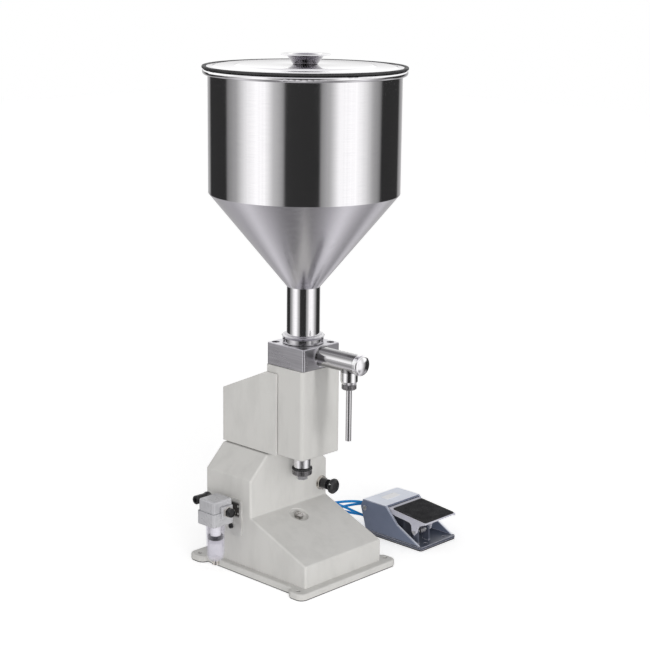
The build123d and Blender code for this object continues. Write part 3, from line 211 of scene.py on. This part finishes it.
def bump(tree, height, distance, strength=1.0):
    """Normal from a height, distance being its size in metres."""
    return add(tree, "Bump", {"Height": height, "Distance": distance, "Strength": strength}).outputs[0]


def span(tree, value, start, end, low=0.0, high=1.0):
    """Goes from low to high as value goes from start to end, and stays there."""
    inputs = {"Value": value, "From Min": start, "From Max": end, "To Min": low, "To Max": high}
    return add(tree, "MapRange", inputs).outputs[0]


def between(tree, low, high, soft):
    """1 where the height is between low and high, 0 outside, with soft ends."""
    z = add(tree, "SeparateXYZ", {0: position(tree)}).outputs[2]
    up = span(tree, z, low - soft, low + soft)
    down = span(tree, z, high + soft, high - soft)
    return maths(tree, "MULTIPLY", up, down)


# ---- Materials -----------------------------------------------------------

def machine_paint():
    """Warm light-grey machine paint: orange peel, faint soiling, worn edges."""
    def build(tree):
        base = mix(tree, noise(tree, 9, detail=4), (0.585, 0.578, 0.558), (0.625, 0.618, 0.60))
        soil = ramp(tree, noise(tree, 38, (1, 1, 0.35), 6, 0.65), (0.35, 0.93), (0.55, 1.0))
        base = mix(tree, 1.0, base, soil, "MULTIPLY")
        edge_wear_and_light = maths(tree, "MULTIPLY", edge_mask(tree, 1.2 * MM), noise(tree, 60, detail=5))
        base = mix(tree, ramp(tree, edge_wear_and_light, (0.30, 0.0), (0.62, 0.55)), base, (0.70, 0.69, 0.67))
        rough = ramp(tree, noise(tree, 25, detail=5), (0.3, 0.40), (0.7, 0.52))
        peel = bump(tree, noise(tree, 420, detail=2), 0.05 * MM, 0.5)
        return {"Base Color": base, "Roughness": rough, "Normal": peel,
                "Specular IOR Level": 0.35}
    return finish_with("machine_paint", build)


def metal(name, light, dark, rough, grain, depth):
    """Bare metal. grain(tree) is its brushing or turning, depth its height in metres."""
    smear = 0.3    # how far handling marks change the roughness, either way

    def build(tree):
        lines = grain(tree)
        tone = ramp(tree, lines, (0.25, dark), (0.75, light))
        stain = noise(tree, 14, detail=5, rough=0.6)
        low, high = rough * (1 - smear), rough * (1 + smear)
        edge = edge_mask(tree, 0.5 * MM)
        tone = mix(tree, maths(tree, "MULTIPLY", edge, 0.25), tone, (0.97, 0.97, 0.98))
        return {"Base Color": tone, "Metallic": 1.0, "Normal": bump(tree, lines, depth),
                "Roughness": ramp(tree, stain, (0.3, low), (0.7, high))}
    return finish_with(name, build)


def spun(around, along):
    """Grain of fine rings about the Z axis."""
    return lambda tree: turned_noise(tree, around, along)


def brushed(scale, stretch):
    """Grain of straight lines: long where stretch is small."""
    return lambda tree: noise(tree, scale, stretch, detail=4)


def hopper_steel():
    """Mirror-polished drum and neck with a satin cone between, and a weld at each joint."""
    weld_half = 1.2 * MM

    def build(tree):
        rings = turned_noise(tree, 6, 1500)
        cone = between(tree, CONE_BOTTOM, CONE_TOP, 0.4 * MM)
        rough = ramp(tree, noise(tree, 14, detail=5), (0.3, 0.07), (0.7, 0.11))
        satin = ramp(tree, turned_noise(tree, 12, 300), (0.3, 0.17), (0.7, 0.23))
        tone = mix(tree, ramp(tree, rings, (0.25, 0.0), (0.75, 1.0)), STEEL_DARK, STEEL_LIGHT)
        tone = mix(tree, cone, tone, (0.80, 0.79, 0.82))
        weld = maths(tree, "ADD", between(tree, CONE_TOP, CONE_TOP, weld_half),
                     between(tree, CONE_BOTTOM, CONE_BOTTOM, weld_half))
        tone = mix(tree, maths(tree, "MULTIPLY", weld, 0.5), tone, (0.95, 0.95, 0.96))
        return {"Base Color": tone, "Metallic": 1.0, "Roughness": mix(tree, cone, rough, satin),
                "Normal": bump(tree, rings, 0.0008 * MM)}
    return finish_with("hopper_steel", build)


# (degrees above the barrel's horizontal, shade of its steel): bands of painted reflection round the tube
BARREL_REFLECTION_BANDS = ((-72, 0.35), (-46, 0.42), (-35, 0.38), (-26, 0.55), (-18, 0.95), (-8, 0.92), (0, 0.75),
                (5, 0.98), (21, 1.0), (27, 0.66), (33, 0.36), (39, 0.30), (45, 0.46), (53, 0.22),
                (64, 0.20), (76, 0.48), (90, 0.60))


def streaked_steel():
    """Drawn tube with bands of painted reflection and marks along it, a plain nozzle boss and a bright weld
    at its root.
    """
    def build(tree):
        x, y, z = add(tree, "SeparateXYZ", {0: position(tree)}).outputs
        rise = maths(tree, "SUBTRACT", z, OUTLET_Z)
        angle = maths(tree, "ARCTAN2", rise, maths(tree, "ABSOLUTE", x))
        place = maths(tree, "ADD", maths(tree, "DIVIDE", angle, math.pi), 0.5)
        # painted reflection: the steel's colour is banded by the angle round the tube's axis
        painted_reflection = ramp(tree, place, *[(degrees / 180 + 0.5, shade) for degrees, shade in BARREL_REFLECTION_BANDS])
        coarse = noise(tree, 260, (1, 0.015, 1), detail=3, rough=0.6)
        fine = noise(tree, 1400, (1, 0.01, 1), detail=2)
        streaks = ramp(tree, coarse, (0.36, (0.70, 0.69, 0.71)), (0.62, (0.98, 0.97, 0.98)))
        height = mix(tree, 0.4, coarse, fine)
        weld = span(tree, y, BARREL_ROOT - 2.2 * MM, BARREL_ROOT - 1.4 * MM)
        tone = mix(tree, 1.0, painted_reflection, streaks, "MULTIPLY")
        boss = between(tree, 0.0, BARREL_BOSS_TOP, 0.5 * MM)
        tone = mix(tree, boss, tone, STEEL_LIGHT)
        rough = ramp(tree, fine, (0.3, 0.10), (0.7, 0.18))
        return {"Base Color": mix(tree, weld, tone, (0.98, 0.97, 0.98)), "Metallic": 1.0,
                "Normal": bump(tree, height, 0.010 * MM),
                "Roughness": mix(tree, weld, rough, (0.55, 0.55, 0.55))}
    return finish_with("streaked_steel", build)


def plastic(name, light, dark, rough, grain_scale, depth, **extra):
    """Moulded plastic, rubber or coating with a fine grain."""
    def build(tree):
        grain = noise(tree, grain_scale, detail=3)
        tone = ramp(tree, noise(tree, 30, detail=5, rough=0.6), (0.3, dark), (0.7, light))
        rough_map = ramp(tree, noise(tree, 80, detail=4), (0.3, rough * 0.8), (0.7, rough * 1.2))
        inputs = {"Base Color": tone, "Roughness": rough_map, "Normal": bump(tree, grain, depth)}
        inputs.update(extra)
        return inputs
    return finish_with(name, build)


STEEL_LIGHT = (0.93, 0.925, 0.93)
STEEL_DARK = (0.85, 0.845, 0.86)

MATERIALS = {
    "machine_paint": machine_paint(),
    "mirror_steel": metal("mirror_steel", STEEL_LIGHT, STEEL_DARK, 0.10, spun(6, 1500), 0.0008 * MM),
    "machined_steel": metal("machined_steel", (0.72, 0.72, 0.73), (0.52, 0.52, 0.54), 0.25,
                            brushed(900, (1, 1, 1)), 0.004 * MM),
    "spring_steel": metal("spring_steel", (0.66, 0.66, 0.68), (0.46, 0.46, 0.48), 0.28,
                          brushed(700, (1, 1, 1)), 0.005 * MM),
    "plain_aluminium": metal("plain_aluminium", (0.86, 0.86, 0.87), (0.74, 0.74, 0.76), 0.30,
                             spun(4, 900), 0.004 * MM),
    "bronze": metal("bronze", (0.78, 0.55, 0.30), (0.58, 0.38, 0.20), 0.30, spun(5, 700), 0.004 * MM),
    "nickel": metal("nickel", (0.84, 0.81, 0.76), (0.66, 0.63, 0.58), 0.20,
                    brushed(600, (1, 1, 1)), 0.003 * MM),
    "black_screw": metal("black_screw", (0.10, 0.10, 0.105), (0.05, 0.05, 0.052), 0.35,
                         brushed(800, (1, 1, 1)), 0.004 * MM),
    "black_rubber": plastic("black_rubber", (0.035, 0.035, 0.036), (0.020, 0.020, 0.021), 0.55,
                            1400, 0.03 * MM),
    "black_plastic": plastic("black_plastic", (0.018, 0.018, 0.019), (0.011, 0.011, 0.012), 0.16,
                             900, 0.004 * MM),
    "white_filter": plastic("white_filter", (0.86, 0.86, 0.84), (0.74, 0.74, 0.72), 0.85,
                            500, 0.12 * MM),
    "filter_alloy": plastic("filter_alloy", (0.58, 0.58, 0.60), (0.44, 0.44, 0.46), 0.30,
                            900, 0.03 * MM, Metallic=0.25),
    "blue_hose": plastic("blue_hose", (0.010, 0.32, 0.78), (0.005, 0.23, 0.64), 0.25,
                         300, 0.006 * MM, **{"Specular IOR Level": 0.4}),
}


def pedal_paint(name, side, top, edge, edge_amount, edge_light_below=1.0):
    """Lacquer on a casting: level faces are painted lighter as painted light from above, and edges below
    edge_light_below are painted bright as a painted highlight.
    """
    def build(tree):
        up = add(tree, "SeparateXYZ", {0: add(tree, "NewGeometry").outputs["Normal"]}).outputs[2]
        # painted light: faces that point up take the lighter top colour
        tone = mix(tree, span(tree, up, 0.6, 0.95), side, top)
        patches = ramp(tree, noise(tree, 30, detail=5, rough=0.6), (0.3, 0.86), (0.7, 1.0))
        tone = mix(tree, 1.0, tone, patches, "MULTIPLY")
        # painted highlight: a light line along the edges
        edge_wear_and_light = maths(tree, "MULTIPLY", edge_mask(tree, 1.1 * MM), edge_amount)
        edge_wear_and_light = maths(tree, "MULTIPLY", edge_wear_and_light, between(tree, -1.0, edge_light_below, 1 * MM))
        hammer = bump(tree, noise(tree, 900, detail=2), 0.03 * MM, 0.6)
        return {"Base Color": mix(tree, edge_wear_and_light, tone, edge), "Metallic": 0.15, "Normal": hammer,
                "Roughness": ramp(tree, noise(tree, 60, detail=4), (0.3, 0.30), (0.7, 0.42))}
    return finish_with(name, build)


def clear_shell():
    """Clear moulded bowl: see-through where it is faced, milky where it is grazed and low down."""
    material = bpy.data.materials.new("clear_shell")
    material.use_nodes = True
    tree = material.node_tree
    shader = tree.nodes["Principled BSDF"]
    grain = noise(tree, 120, (1, 1, 0.4), detail=4)
    tint = ramp(tree, grain, (0.3, (0.84, 0.83, 0.88)), (0.7, (0.93, 0.92, 0.97)))
    put(tree, shader.inputs["Base Color"], tint)
    put(tree, shader.inputs["Roughness"], 0.12)
    put(tree, shader.inputs["Normal"], bump(tree, grain, 0.05 * MM))
    glass = add(tree, "BsdfTransparent", {"Color": (0.97, 0.965, 0.99)})
    graze = add(tree, "LayerWeight", {"Blend": 0.16}).outputs["Facing"]
    baffle_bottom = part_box("filter_baffle")[0][2]
    frosted = maths(tree, "MULTIPLY", between(tree, 0.0, baffle_bottom - 3 * MM, 2 * MM), 0.22)
    amount = maths(tree, "MAXIMUM", span(tree, graze, 0.0, 1.0, 0.0, 0.85), frosted)
    blend = add(tree, "MixShader", {0: amount, 1: glass.outputs[0], 2: shader.outputs[0]})
    tree.links.new(blend.outputs[0], tree.nodes["Material Output"].inputs["Surface"])
    return material


def bracket_zinc():
    """Zinc-plated sheet, with a painted shade round the slots behind the port plug."""
    def build(tree):
        y = add(tree, "SeparateXYZ", {0: position(tree)}).outputs[1]
        # painted shade: the bracket goes near black behind the port plug, where the filter head shades it
        painted_shade = between(tree, *PAINTED_SHADE_Z, 1.5 * MM)
        inner = span(tree, y, PAINTED_SHADE_Y - 1 * MM, PAINTED_SHADE_Y + 1 * MM)
        tone = ramp(tree, noise(tree, 60, detail=5), (0.3, (0.50, 0.495, 0.48)), (0.7, (0.66, 0.655, 0.64)))
        tone = mix(tree, maths(tree, "MULTIPLY", painted_shade, inner), tone, (0.045, 0.043, 0.042))
        return {"Base Color": tone, "Metallic": 0.2, "Roughness": 0.4,
                "Normal": bump(tree, noise(tree, 500), 0.01 * MM)}
    return finish_with("bracket_zinc", build)


# Side, top and edge colours of the foot valve's lacquer: the lighter top is painted light, the edge colour
# a painted highlight
PEDAL_SIDE, PEDAL_UP, PEDAL_EDGE = (0.175, 0.205, 0.290), (0.84, 0.88, 0.98), (0.86, 0.86, 0.94)

DARK_STEEL = metal("dark_steel", (0.34, 0.33, 0.34), (0.16, 0.155, 0.16), 0.30,
                   brushed(800, (1, 1, 1)), 0.006 * MM)

# Nodes whose finish differs from the plain one of their slot
SPECIAL = {
    "hopper": hopper_steel(),
    "outlet_barrel": streaked_steel(),
    "nozzle_pipe": metal("pipe_steel", (0.80, 0.79, 0.80), (0.55, 0.54, 0.56), 0.22,
                         brushed(1500, (1, 1, 0.02)), 0.004 * MM),
    "piston_rod": metal("rod_steel", (0.96, 0.95, 0.97), (0.86, 0.85, 0.88), 0.30,
                        spun(6, 1200), 0.002 * MM),
    "valve_block": metal("block_steel", (0.68, 0.67, 0.70), (0.52, 0.51, 0.54), 0.30,
                         brushed(500, (0.05, 0.05, 1)), 0.004 * MM),
    "hopper_collar": metal("collar_steel", (0.66, 0.65, 0.67), (0.46, 0.455, 0.47), 0.14,
                           spun(6, 900), 0.001 * MM),
    "stop_bolt": metal("stop_steel", (0.95, 0.93, 0.90), (0.16, 0.15, 0.14), 0.22,
                       brushed(170, (1, 1, 1)), 0.02 * MM),
    "stack_bolts": DARK_STEEL,
    "nozzle_nut": DARK_STEEL,
    "stop_nut": DARK_STEEL,
    "pedal_housing": pedal_paint("cover_paint", PEDAL_SIDE, PEDAL_UP, PEDAL_EDGE, 0.8),
    "treadle": pedal_paint("treadle_paint", (0.60, 0.60, 0.68), (0.70, 0.69, 0.76),
                           (0.85, 0.84, 0.90), 0.9),
    "pedal_base": pedal_paint("floor_paint", (0.085, 0.095, 0.13), (0.095, 0.11, 0.15), PEDAL_EDGE, 0.9,
                              FLOOR_TOP),
    "pedal_valve": pedal_paint("valve_paint", (0.055, 0.06, 0.08), (0.08, 0.085, 0.11), PEDAL_SIDE, 0.5),
    "filter_bracket": bracket_zinc(),
    "filter_bowl": clear_shell(),
    "filter_baffle": plastic("baffle_black", (0.012, 0.012, 0.016), (0.008, 0.008, 0.010), 0.5,
                             900, 0.004 * MM),
}

# Finishes of pieces built here
PAD_RUBBER = plastic("pad_rubber", (0.018, 0.018, 0.020), (0.010, 0.010, 0.011), 0.6, 1400, 0.02 * MM,
                     **{"Specular IOR Level": 0.25})
# a darker copy of the mirror steel for the knob's cone: painted shade for the dark reflection it shows
KNOB_SHADED_STEEL = metal("knob_shaded_steel", (0.42, 0.41, 0.43), (0.30, 0.29, 0.31), 0.16, spun(6, 900), 0.001 * MM)
LABEL_PLATE = plastic("label_plate", (0.97, 0.97, 0.98), (0.90, 0.90, 0.93), 0.30, 700, 0.01 * MM)


def assign():
    """Every CAD node gets the material of its slot, or its own special one."""
    for name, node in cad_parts.items():
        for index, material in enumerate(node.data.materials):
            slot = material.name.split(".")[0]
            node.data.materials[index] = SPECIAL[name] if name in SPECIAL else MATERIALS[slot]


# ---- Pieces rebuilt with finer shapes ------------------------------------

def rounded(points, radius, steps=4):
    """Outline in millimetres with every corner rounded, as a closed list of points."""
    points = [Vector(p) for p in points]
    out = []
    for i, corner in enumerate(points):
        before, after = points[i - 1], points[(i + 1) % len(points)]
        ends = []
        for other in (before, after):
            reach = min(radius, (other - corner).length * 0.45)
            ends.append(corner + (other - corner).normalized() * reach)
        for step in range(steps + 1):
            t = step / steps
            out.append(ends[0].lerp(corner, t).lerp(corner.lerp(ends[1], t), t))
    return out


def finish_piece(name, shape, material, body, place=None):
    """Turns a bmesh in millimetres into a piece that rides on a body, if one is named."""
    if place is not None:
        bmesh.ops.transform(shape, matrix=place, verts=shape.verts)
    bmesh.ops.scale(shape, vec=(MM, MM, MM), verts=shape.verts)
    bmesh.ops.recalc_face_normals(shape, faces=shape.faces)
    mesh = bpy.data.meshes.new(name)
    shape.to_mesh(mesh)
    shape.free()
    mesh.shade_smooth()
    mesh.set_sharp_from_angle(angle=math.radians(40))
    mesh.materials.append(material)
    piece = bpy.data.objects.new(name, mesh)
    SCENE.collection.objects.link(piece)
    if body:
        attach(piece, body)
    return piece


def lathe(outline, steps=180):
    """Ring of revolution about Z from a closed (radius, height) outline."""
    shape = bmesh.new()
    rings = []
    for step in range(steps):
        angle = 2 * math.pi * step / steps
        rings.append([shape.verts.new((r * math.cos(angle), r * math.sin(angle), z)) for r, z in outline])
    for step in range(steps):
        near, far = rings[step], rings[(step + 1) % steps]
        for i in range(len(outline)):
            j = (i + 1) % len(outline)
            shape.faces.new((near[i], near[j], far[j], far[i]))
    return shape


def skin(shape, levels):
    """Closes a solid through loops of vertices, from the bottom up; gives back its top face."""
    count = len(levels[0])
    for lower, upper in zip(levels, levels[1:]):
        for i in range(count):
            j = (i + 1) % count
            shape.faces.new((lower[i], lower[j], upper[j], upper[i]))
    shape.faces.new(reversed(levels[0]))
    return shape.faces.new(levels[-1])


def slab(shape, edge, bottom, top):
    """Flat plate with the given outline; gives back its top face."""
    return skin(shape, [[shape.verts.new((x, y, z)) for x, y in edge] for z in (bottom, top)])


def make_lid():
    """Pressed lid: two steps between its flat rings."""
    rim, bore, sheet = 136.2, 4.1, 1.0
    top = [(rim, 706.0), (124.5, 706.0), (121.0, 707.2), (94.5, 707.3), (90.5, 709.0), (bore, LID_TOP)]
    under = [(r, z - sheet) for r, z in reversed(top)]
    piece = finish_piece("lid_sheet", lathe(rounded(top + under, 1.2)), MATERIALS["mirror_steel"],
                         "lid")
    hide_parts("lid")


def make_gasket():
    """Rolled silicone edging, proud of the lid's rim."""
    outline = [(131.5, 703.6), (137.6, 703.6), (137.9, 704.6), (137.9, 706.2), (137.0, 707.0),
               (134.8, 707.0), (134.2, 706.1), (131.5, 706.1)]
    piece = finish_piece("lid_edging", lathe(rounded(outline, 0.7)), MATERIALS["black_rubber"],
                         "lid")
    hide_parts("lid_gasket")


def make_knob():
    """Spun knob with rolled edges on its flange and a dished top; below the flange it is a painted shade of
    darker steel.
    """
    bore = 4.1
    outline = [(bore, LID_TOP), (16.4, LID_TOP), (17.4, 710.2), (24.4, 720.0), (26.4, 721.0), (32.8, 721.2),
               (34.0, 722.0), (33.0, 722.8), (23.0, 722.8), (20.6, 722.0), (17.0, 716.0), (bore, 716.0)]
    piece = finish_piece("lid_handle", lathe(rounded(outline, 0.8), 120), KNOB_SHADED_STEEL, "lid")
    piece.data.materials.append(MATERIALS["mirror_steel"])
    flange_z = 721.05 * MM
    for face in piece.data.polygons:
        if face.center.z > flange_z:
            face.material_index = 1
    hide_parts("lid_knob")


def make_end_cap():
    """Screw cap with a rounded shoulder and a shallow dome."""
    radius, shoulder, dome, corner = 14.2, 8.6, 3.0, 2.6
    spigot, gap, axis = 12.3, 0.9, 0.02    # axis: just off the centre, so that no faces collapse
    corner_steps, dome_steps = 8, 10
    outline = [(axis, -1), (spigot, -1), (spigot, gap), (radius, gap)]
    flat = radius - corner
    for step in range(corner_steps + 1):
        angle = math.pi / 2 * step / corner_steps
        outline.append((flat + corner * math.cos(angle), shoulder - corner + corner * math.sin(angle)))
    for step in range(1, dome_steps + 1):
        r = max(flat * (1 - step / dome_steps), axis)
        outline.append((r, shoulder + dome * (1 - (r / flat) ** 2)))
    place = Matrix.Translation((0, BARREL_END, OUTLET_Z / MM)) @ Matrix.Rotation(math.pi / 2, 4, "X")
    piece = finish_piece("barrel_cap", lathe(outline, 96), MATERIALS["mirror_steel"], "frame",
                         place)
    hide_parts("end_cap")


def corner_arcs(left, right, front, rear, radius, steps=6):
    """Outline of a rectangle with round corners, counter-clockwise."""
    edge = []
    corners = ((right - radius, rear - radius), (left + radius, rear - radius),
               (left + radius, front + radius), (right - radius, front + radius))
    for quarter, (x, y) in enumerate(corners):
        for step in range(steps + 1):
            angle = math.pi / 2 * (quarter + step / steps)
            edge.append((x + radius * math.cos(angle), y + radius * math.sin(angle)))
    return edge


def add_stud(shape, x, y, base):
    """One low round stud standing on the pad; its foot is sunk in the pad."""
    sides = 8
    levels = []
    for radius, z in ((1.05, base - 0.1), (0.95, base + 0.3), (0.6, base + 0.55)):
        level = []
        for i in range(sides):
            angle = 2 * math.pi * i / sides
            level.append(shape.verts.new((x + radius * math.cos(angle), y + radius * math.sin(angle), z)))
        levels.append(level)
    skin(shape, levels)


def make_pad():
    """Rubber pad of the treadle, covered with small round studs."""
    start, depth, thick, corner = 1.0, 64.5, 1.3, 3.0
    pitch, margin = 2.9, 3
    low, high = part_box("treadle_pad")
    width = (high[0] - low[0]) / MM
    middle = (low[0] + high[0]) / 2 / MM
    shape = bmesh.new()
    slab(shape, corner_arcs(-width / 2, width / 2, start, start + depth, corner), 0.0, thick)
    columns, rows = int((width - margin) / pitch), int((depth - margin) / pitch)
    for column in range(columns):
        for row in range(rows):
            x = (column - (columns - 1) / 2) * pitch
            y = start + depth / 2 + (row - (rows - 1) / 2) * pitch
            add_stud(shape, x, y, thick)
    slope = math.atan2(TREADLE_REAR[1] - TREADLE_FRONT[1], TREADLE_REAR[0] - TREADLE_FRONT[0])
    place = Matrix.Translation((middle, *TREADLE_FRONT)) @ Matrix.Rotation(slope, 4, "X")
    piece = finish_piece("studded_pad", shape, PAD_RUBBER, "treadle", place)
    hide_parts("treadle_pad")


def make_label():
    """Blank rating plate on the foot valve's cover, with a raised border."""
    half_x, half_y, corner, thick, sunk = 15.0, 7.0, 1.2, 0.4, 0.1
    x, y = 201.0, 9.0
    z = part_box("pedal_housing")[1][2] / MM
    shape = bmesh.new()
    edge = rounded([(-half_x, -half_y), (half_x, -half_y), (half_x, half_y), (-half_x, half_y)], corner)
    top = slab(shape, edge, -sunk, thick)
    bmesh.ops.inset_region(shape, faces=[top], thickness=0.9, depth=-0.15)
    finish_piece("pedal_label", shape, LABEL_PLATE, "frame",
                 Matrix.Translation((x, y, z)))


def spring_from(node, name, body, belongs):
    """One spring of a CAD node, the vertices that belong to it, as a piece of its own."""
    shape = bmesh.new()
    shape.from_mesh(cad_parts[node].data)
    others = [vert for vert in shape.verts if not belongs(vert.co)]
    bmesh.ops.delete(shape, geom=others, context="VERTS")
    piece = finish_piece(name, shape, MATERIALS["spring_steel"], body,
                         Matrix.Scale(1 / MM, 4))
    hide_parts(node)
    return piece


def make_springs():
    """Coils of the valves and the plunger, and the treadle's torsion spring, as pieces of their own."""
    valve_split, pedal_split = -30 * MM, -35 * MM    # each node's two springs are either side of it
    inlet = spring_from("valve_springs", "inlet_coil", "frame", lambda co: co.y > valve_split)
    outlet = spring_from("valve_springs", "outlet_coil", "frame", lambda co: co.y < valve_split)
    plunger = spring_from("pedal_springs", "plunger_coil", "frame", lambda co: co.y > pedal_split)
    torsion = spring_from("pedal_springs", "treadle_coil", None, lambda co: co.y < pedal_split)
    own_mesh(inlet)
    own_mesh(outlet)
    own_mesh(plunger)
    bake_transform(torsion)


# ---- Studio --------------------------------------------------------------

CAMERA_SIDE = 224.5    # degrees, direction from the object to the camera

# What polished steel sees around it, as (degrees from the camera's direction, brightness):
# two large softboxes with dark gaps between them.
SIDE_PANELS = ((-180, 0.70), (-156, 0.36), (-150, 0.035), (-109, 0.03), (-105, 0.24),
               (-90, 0.42), (-75, 0.95), (-62, 1.20), (-50, 1.15), (-40, 0.60),
               (-28, 0.33), (-25, 0.035), (14, 0.030), (17, 0.30), (28, 0.52),
               (38, 1.12), (60, 1.20), (73, 0.86), (85, 0.42), (96, 0.25),
               (100, 0.030), (141, 0.035), (146, 0.28), (162, 0.55), (180, 0.70))
PANEL_PEAK = 1.20
PANEL_TURN = 2.7       # degrees the panels are turned to the right
BACK_WHITE = 1.15      # above the horizon behind: what level faces mirror
ZENITH = (0.42, 0.405, 0.46)

# What the cone sees below it, as (place from the left to the right of the view, brightness)
FLOOR_BANDS = ((0.01, 0.95), (0.095, 0.38), (0.195, 0.74), (0.295, 0.48), (0.41, 0.23), (0.485, 0.15),
               (0.54, 0.27), (0.60, 0.46), (0.70, 0.84), (0.76, 0.60), (0.82, 0.40), (0.88, 0.29),
               (0.95, 0.9))
FLOOR_WRAP = 1.2       # how far the bands bend round behind the object
FLOOR_CENTRE = 0.04    # where the cone looks straight down
FLOOR_SPAN = 2.84      # width of the bands, in units of the view direction


def softboxes(tree, x, y, z):
    """Panels round the object for upright metal, with a white backdrop behind and above."""
    turn = maths(tree, "DIVIDE", maths(tree, "ARCTAN2", y, x), 2 * math.pi)
    around = maths(tree, "ADD", turn, 0.5)
    stops = []
    for angle, brightness in SIDE_PANELS:
        shade = brightness / PANEL_PEAK
        stops.append((angle / 360 + 0.5, (shade, shade * 0.99, shade)))
    sides = mix(tree, 1.0, ramp(tree, around, *stops), (PANEL_PEAK,) * 3, "MULTIPLY")
    stripes = add(tree, "CombineXYZ", {0: maths(tree, "MULTIPLY", around, 160)}).outputs[0]
    streaks = add(tree, "TexNoise", {"Vector": stripes, "Scale": 1.0, "Detail": 3}).outputs["Fac"]
    sides = mix(tree, 1.0, sides, ramp(tree, streaks, (0.3, 0.86), (0.7, 1.0)), "MULTIPLY")
    rise = span(tree, z, 0.02, 0.12)
    behind = span(tree, x, 0.30, -0.05)
    return mix(tree, maths(tree, "MULTIPLY", rise, behind), sides, (BACK_WHITE,) * 3)


def floor_bands(tree, x, y):
    """Light and dark wedges for metal that faces down, bent round behind the object."""
    depth = maths(tree, "MULTIPLY", maths(tree, "ADD", x, FLOOR_CENTRE), -FLOOR_WRAP)
    away = maths(tree, "MULTIPLY", maths(tree, "SIGN", y), depth)
    width = maths(tree, "DIVIDE", maths(tree, "ADD", y, away), FLOOR_SPAN)
    across = maths(tree, "ADD", width, 0.5)
    return ramp(tree, across, *[(place, (shade * 0.985, shade * 0.965, shade))
                                for place, shade in FLOOR_BANDS])


def room_for_metal(tree, x, y, z):
    """What mirrors see: softboxes at the sides, bands below, a dim ceiling above."""
    above = ramp(tree, z, (0.55, (1.0, 1.0, 1.0)), (0.72, (0.80, 0.79, 0.82)), (0.90, ZENITH))
    lower = mix(tree, span(tree, z, -0.42, -0.62), softboxes(tree, x, y, z), floor_bands(tree, x, y))
    return mix(tree, span(tree, z, 0.35, 0.60), lower, above)


def room_for_paint(tree, x, z):
    """Soft light on matt surfaces: brighter from the camera's side, dimmer from above."""
    front = maths(tree, "ADD", maths(tree, "MULTIPLY", x, 0.5), 0.5)
    soft = ramp(tree, front, (0.0, (0.58, 0.58, 0.585)), (0.5, (0.84, 0.84, 0.84)),
                (1.0, (1.06, 1.05, 1.04)))
    return mix(tree, 1.0, soft, ramp(tree, z, (0.15, 1.0), (0.9, 0.58)), "MULTIPLY")


def make_world():
    """White backdrop for the camera, and a room of its own for paint and for polished metal."""
    world = bpy.data.worlds.new("studio")
    SCENE.world = world
    world.use_nodes = True
    world.cycles.sampling_method = "NONE"
    tree = world.node_tree
    way = add(tree, "TexCoord").outputs["Generated"]
    turned = add(tree, "VectorRotate", {"Vector": way, "Angle": -math.radians(CAMERA_SIDE + PANEL_TURN)},
                 rotation_type="Z_AXIS").outputs[0]
    x, y, z = add(tree, "SeparateXYZ", {0: turned}).outputs
    path = add(tree, "LightPath").outputs
    colour = mix(tree, path["Is Diffuse Ray"], (1, 1, 1), room_for_paint(tree, x, z))
    colour = mix(tree, path["Is Glossy Ray"], colour, room_for_metal(tree, x, y, z))
    tree.links.new(colour, tree.nodes["Background"].inputs["Color"])


def make_lamp(name, place, size, power, aim=(0, 0, 0.25), only=(), skip=(), glossy=False):
    """Soft round lamp. It lights just the nodes in only, or everything but those in skip."""
    light = bpy.data.lights.new(name, "AREA")
    light.shape = "DISK"
    light.size = size
    light.energy = power
    lamp = bpy.data.objects.new(name, light)
    lamp.location = place
    lamp.rotation_euler = (Vector(aim) - Vector(place)).to_track_quat("-Z", "Y").to_euler()
    lamp.visible_glossy = glossy
    SCENE.collection.objects.link(lamp)
    if only or skip:
        named = bpy.data.collections.new(name + "_nodes")
        for node in only or skip:
            named.objects.link(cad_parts[node])
        for link in named.collection_objects:
            link.light_linking.link_state = "INCLUDE" if only else "EXCLUDE"
        lamp.light_linking.receiver_collection = named


def make_floor():
    """Pale floor, white to the camera where nothing shades it."""
    half = 6.0
    lift = 0.46    # glow that brings the lit floor up to white in the picture
    shape = bmesh.new()
    corners = [shape.verts.new((x * half, y * half, CAD_BOX[0][2]))
               for x, y in ((-1, -1), (1, -1), (1, 1), (-1, 1))]
    shape.faces.new(corners)
    mesh = bpy.data.meshes.new("floor")
    shape.to_mesh(mesh)
    shape.free()
    floor = bpy.data.objects.new("floor", mesh)
    SCENE.collection.objects.link(floor)
    floor.visible_glossy = False

    def build(tree):
        tone = mix(tree, noise(tree, 40, detail=2), (0.90, 0.90, 0.90), (0.92, 0.92, 0.92))
        camera = add(tree, "LightPath").outputs["Is Camera Ray"]
        return {"Base Color": tone, "Roughness": 0.9, "Specular IOR Level": 0.1,
                "Emission Color": (1, 1, 1), "Emission Strength": maths(tree, "MULTIPLY", camera, lift)}
    mesh.materials.append(finish_with("floor", build))


make_camera()
assign()
make_lid()
make_gasket()
make_knob()
make_end_cap()
make_pad()
make_label()
make_springs()
make_world()
make_lamp("front_lamp", (-1.25, -1.9, 0.4), 1.2, 27, skip=("column_shell",))
make_lamp("shell_lamp", (-2.0, 0.5, 0.5), 1.0, 8.5, only=("column_shell",))
# Above and in front, so that the barrel shades the column below it
make_lamp("band_lamp", (0.0, -0.92, 1.32), 0.28, 10, (0, -0.04, 0.25), only=("column_shell",))
# Small and bright, for a spark on the dark knobs and screws
make_lamp("spark_lamp", (-0.9, -1.1, 0.75), 0.16, 3.0, (0.05, 0, 0.1),
          only=("hand_valve_knob", "hand_valve", "port_plug", "inlet_elbow", "stop_bolt", "case_screws"),
          glossy=True)
make_floor()
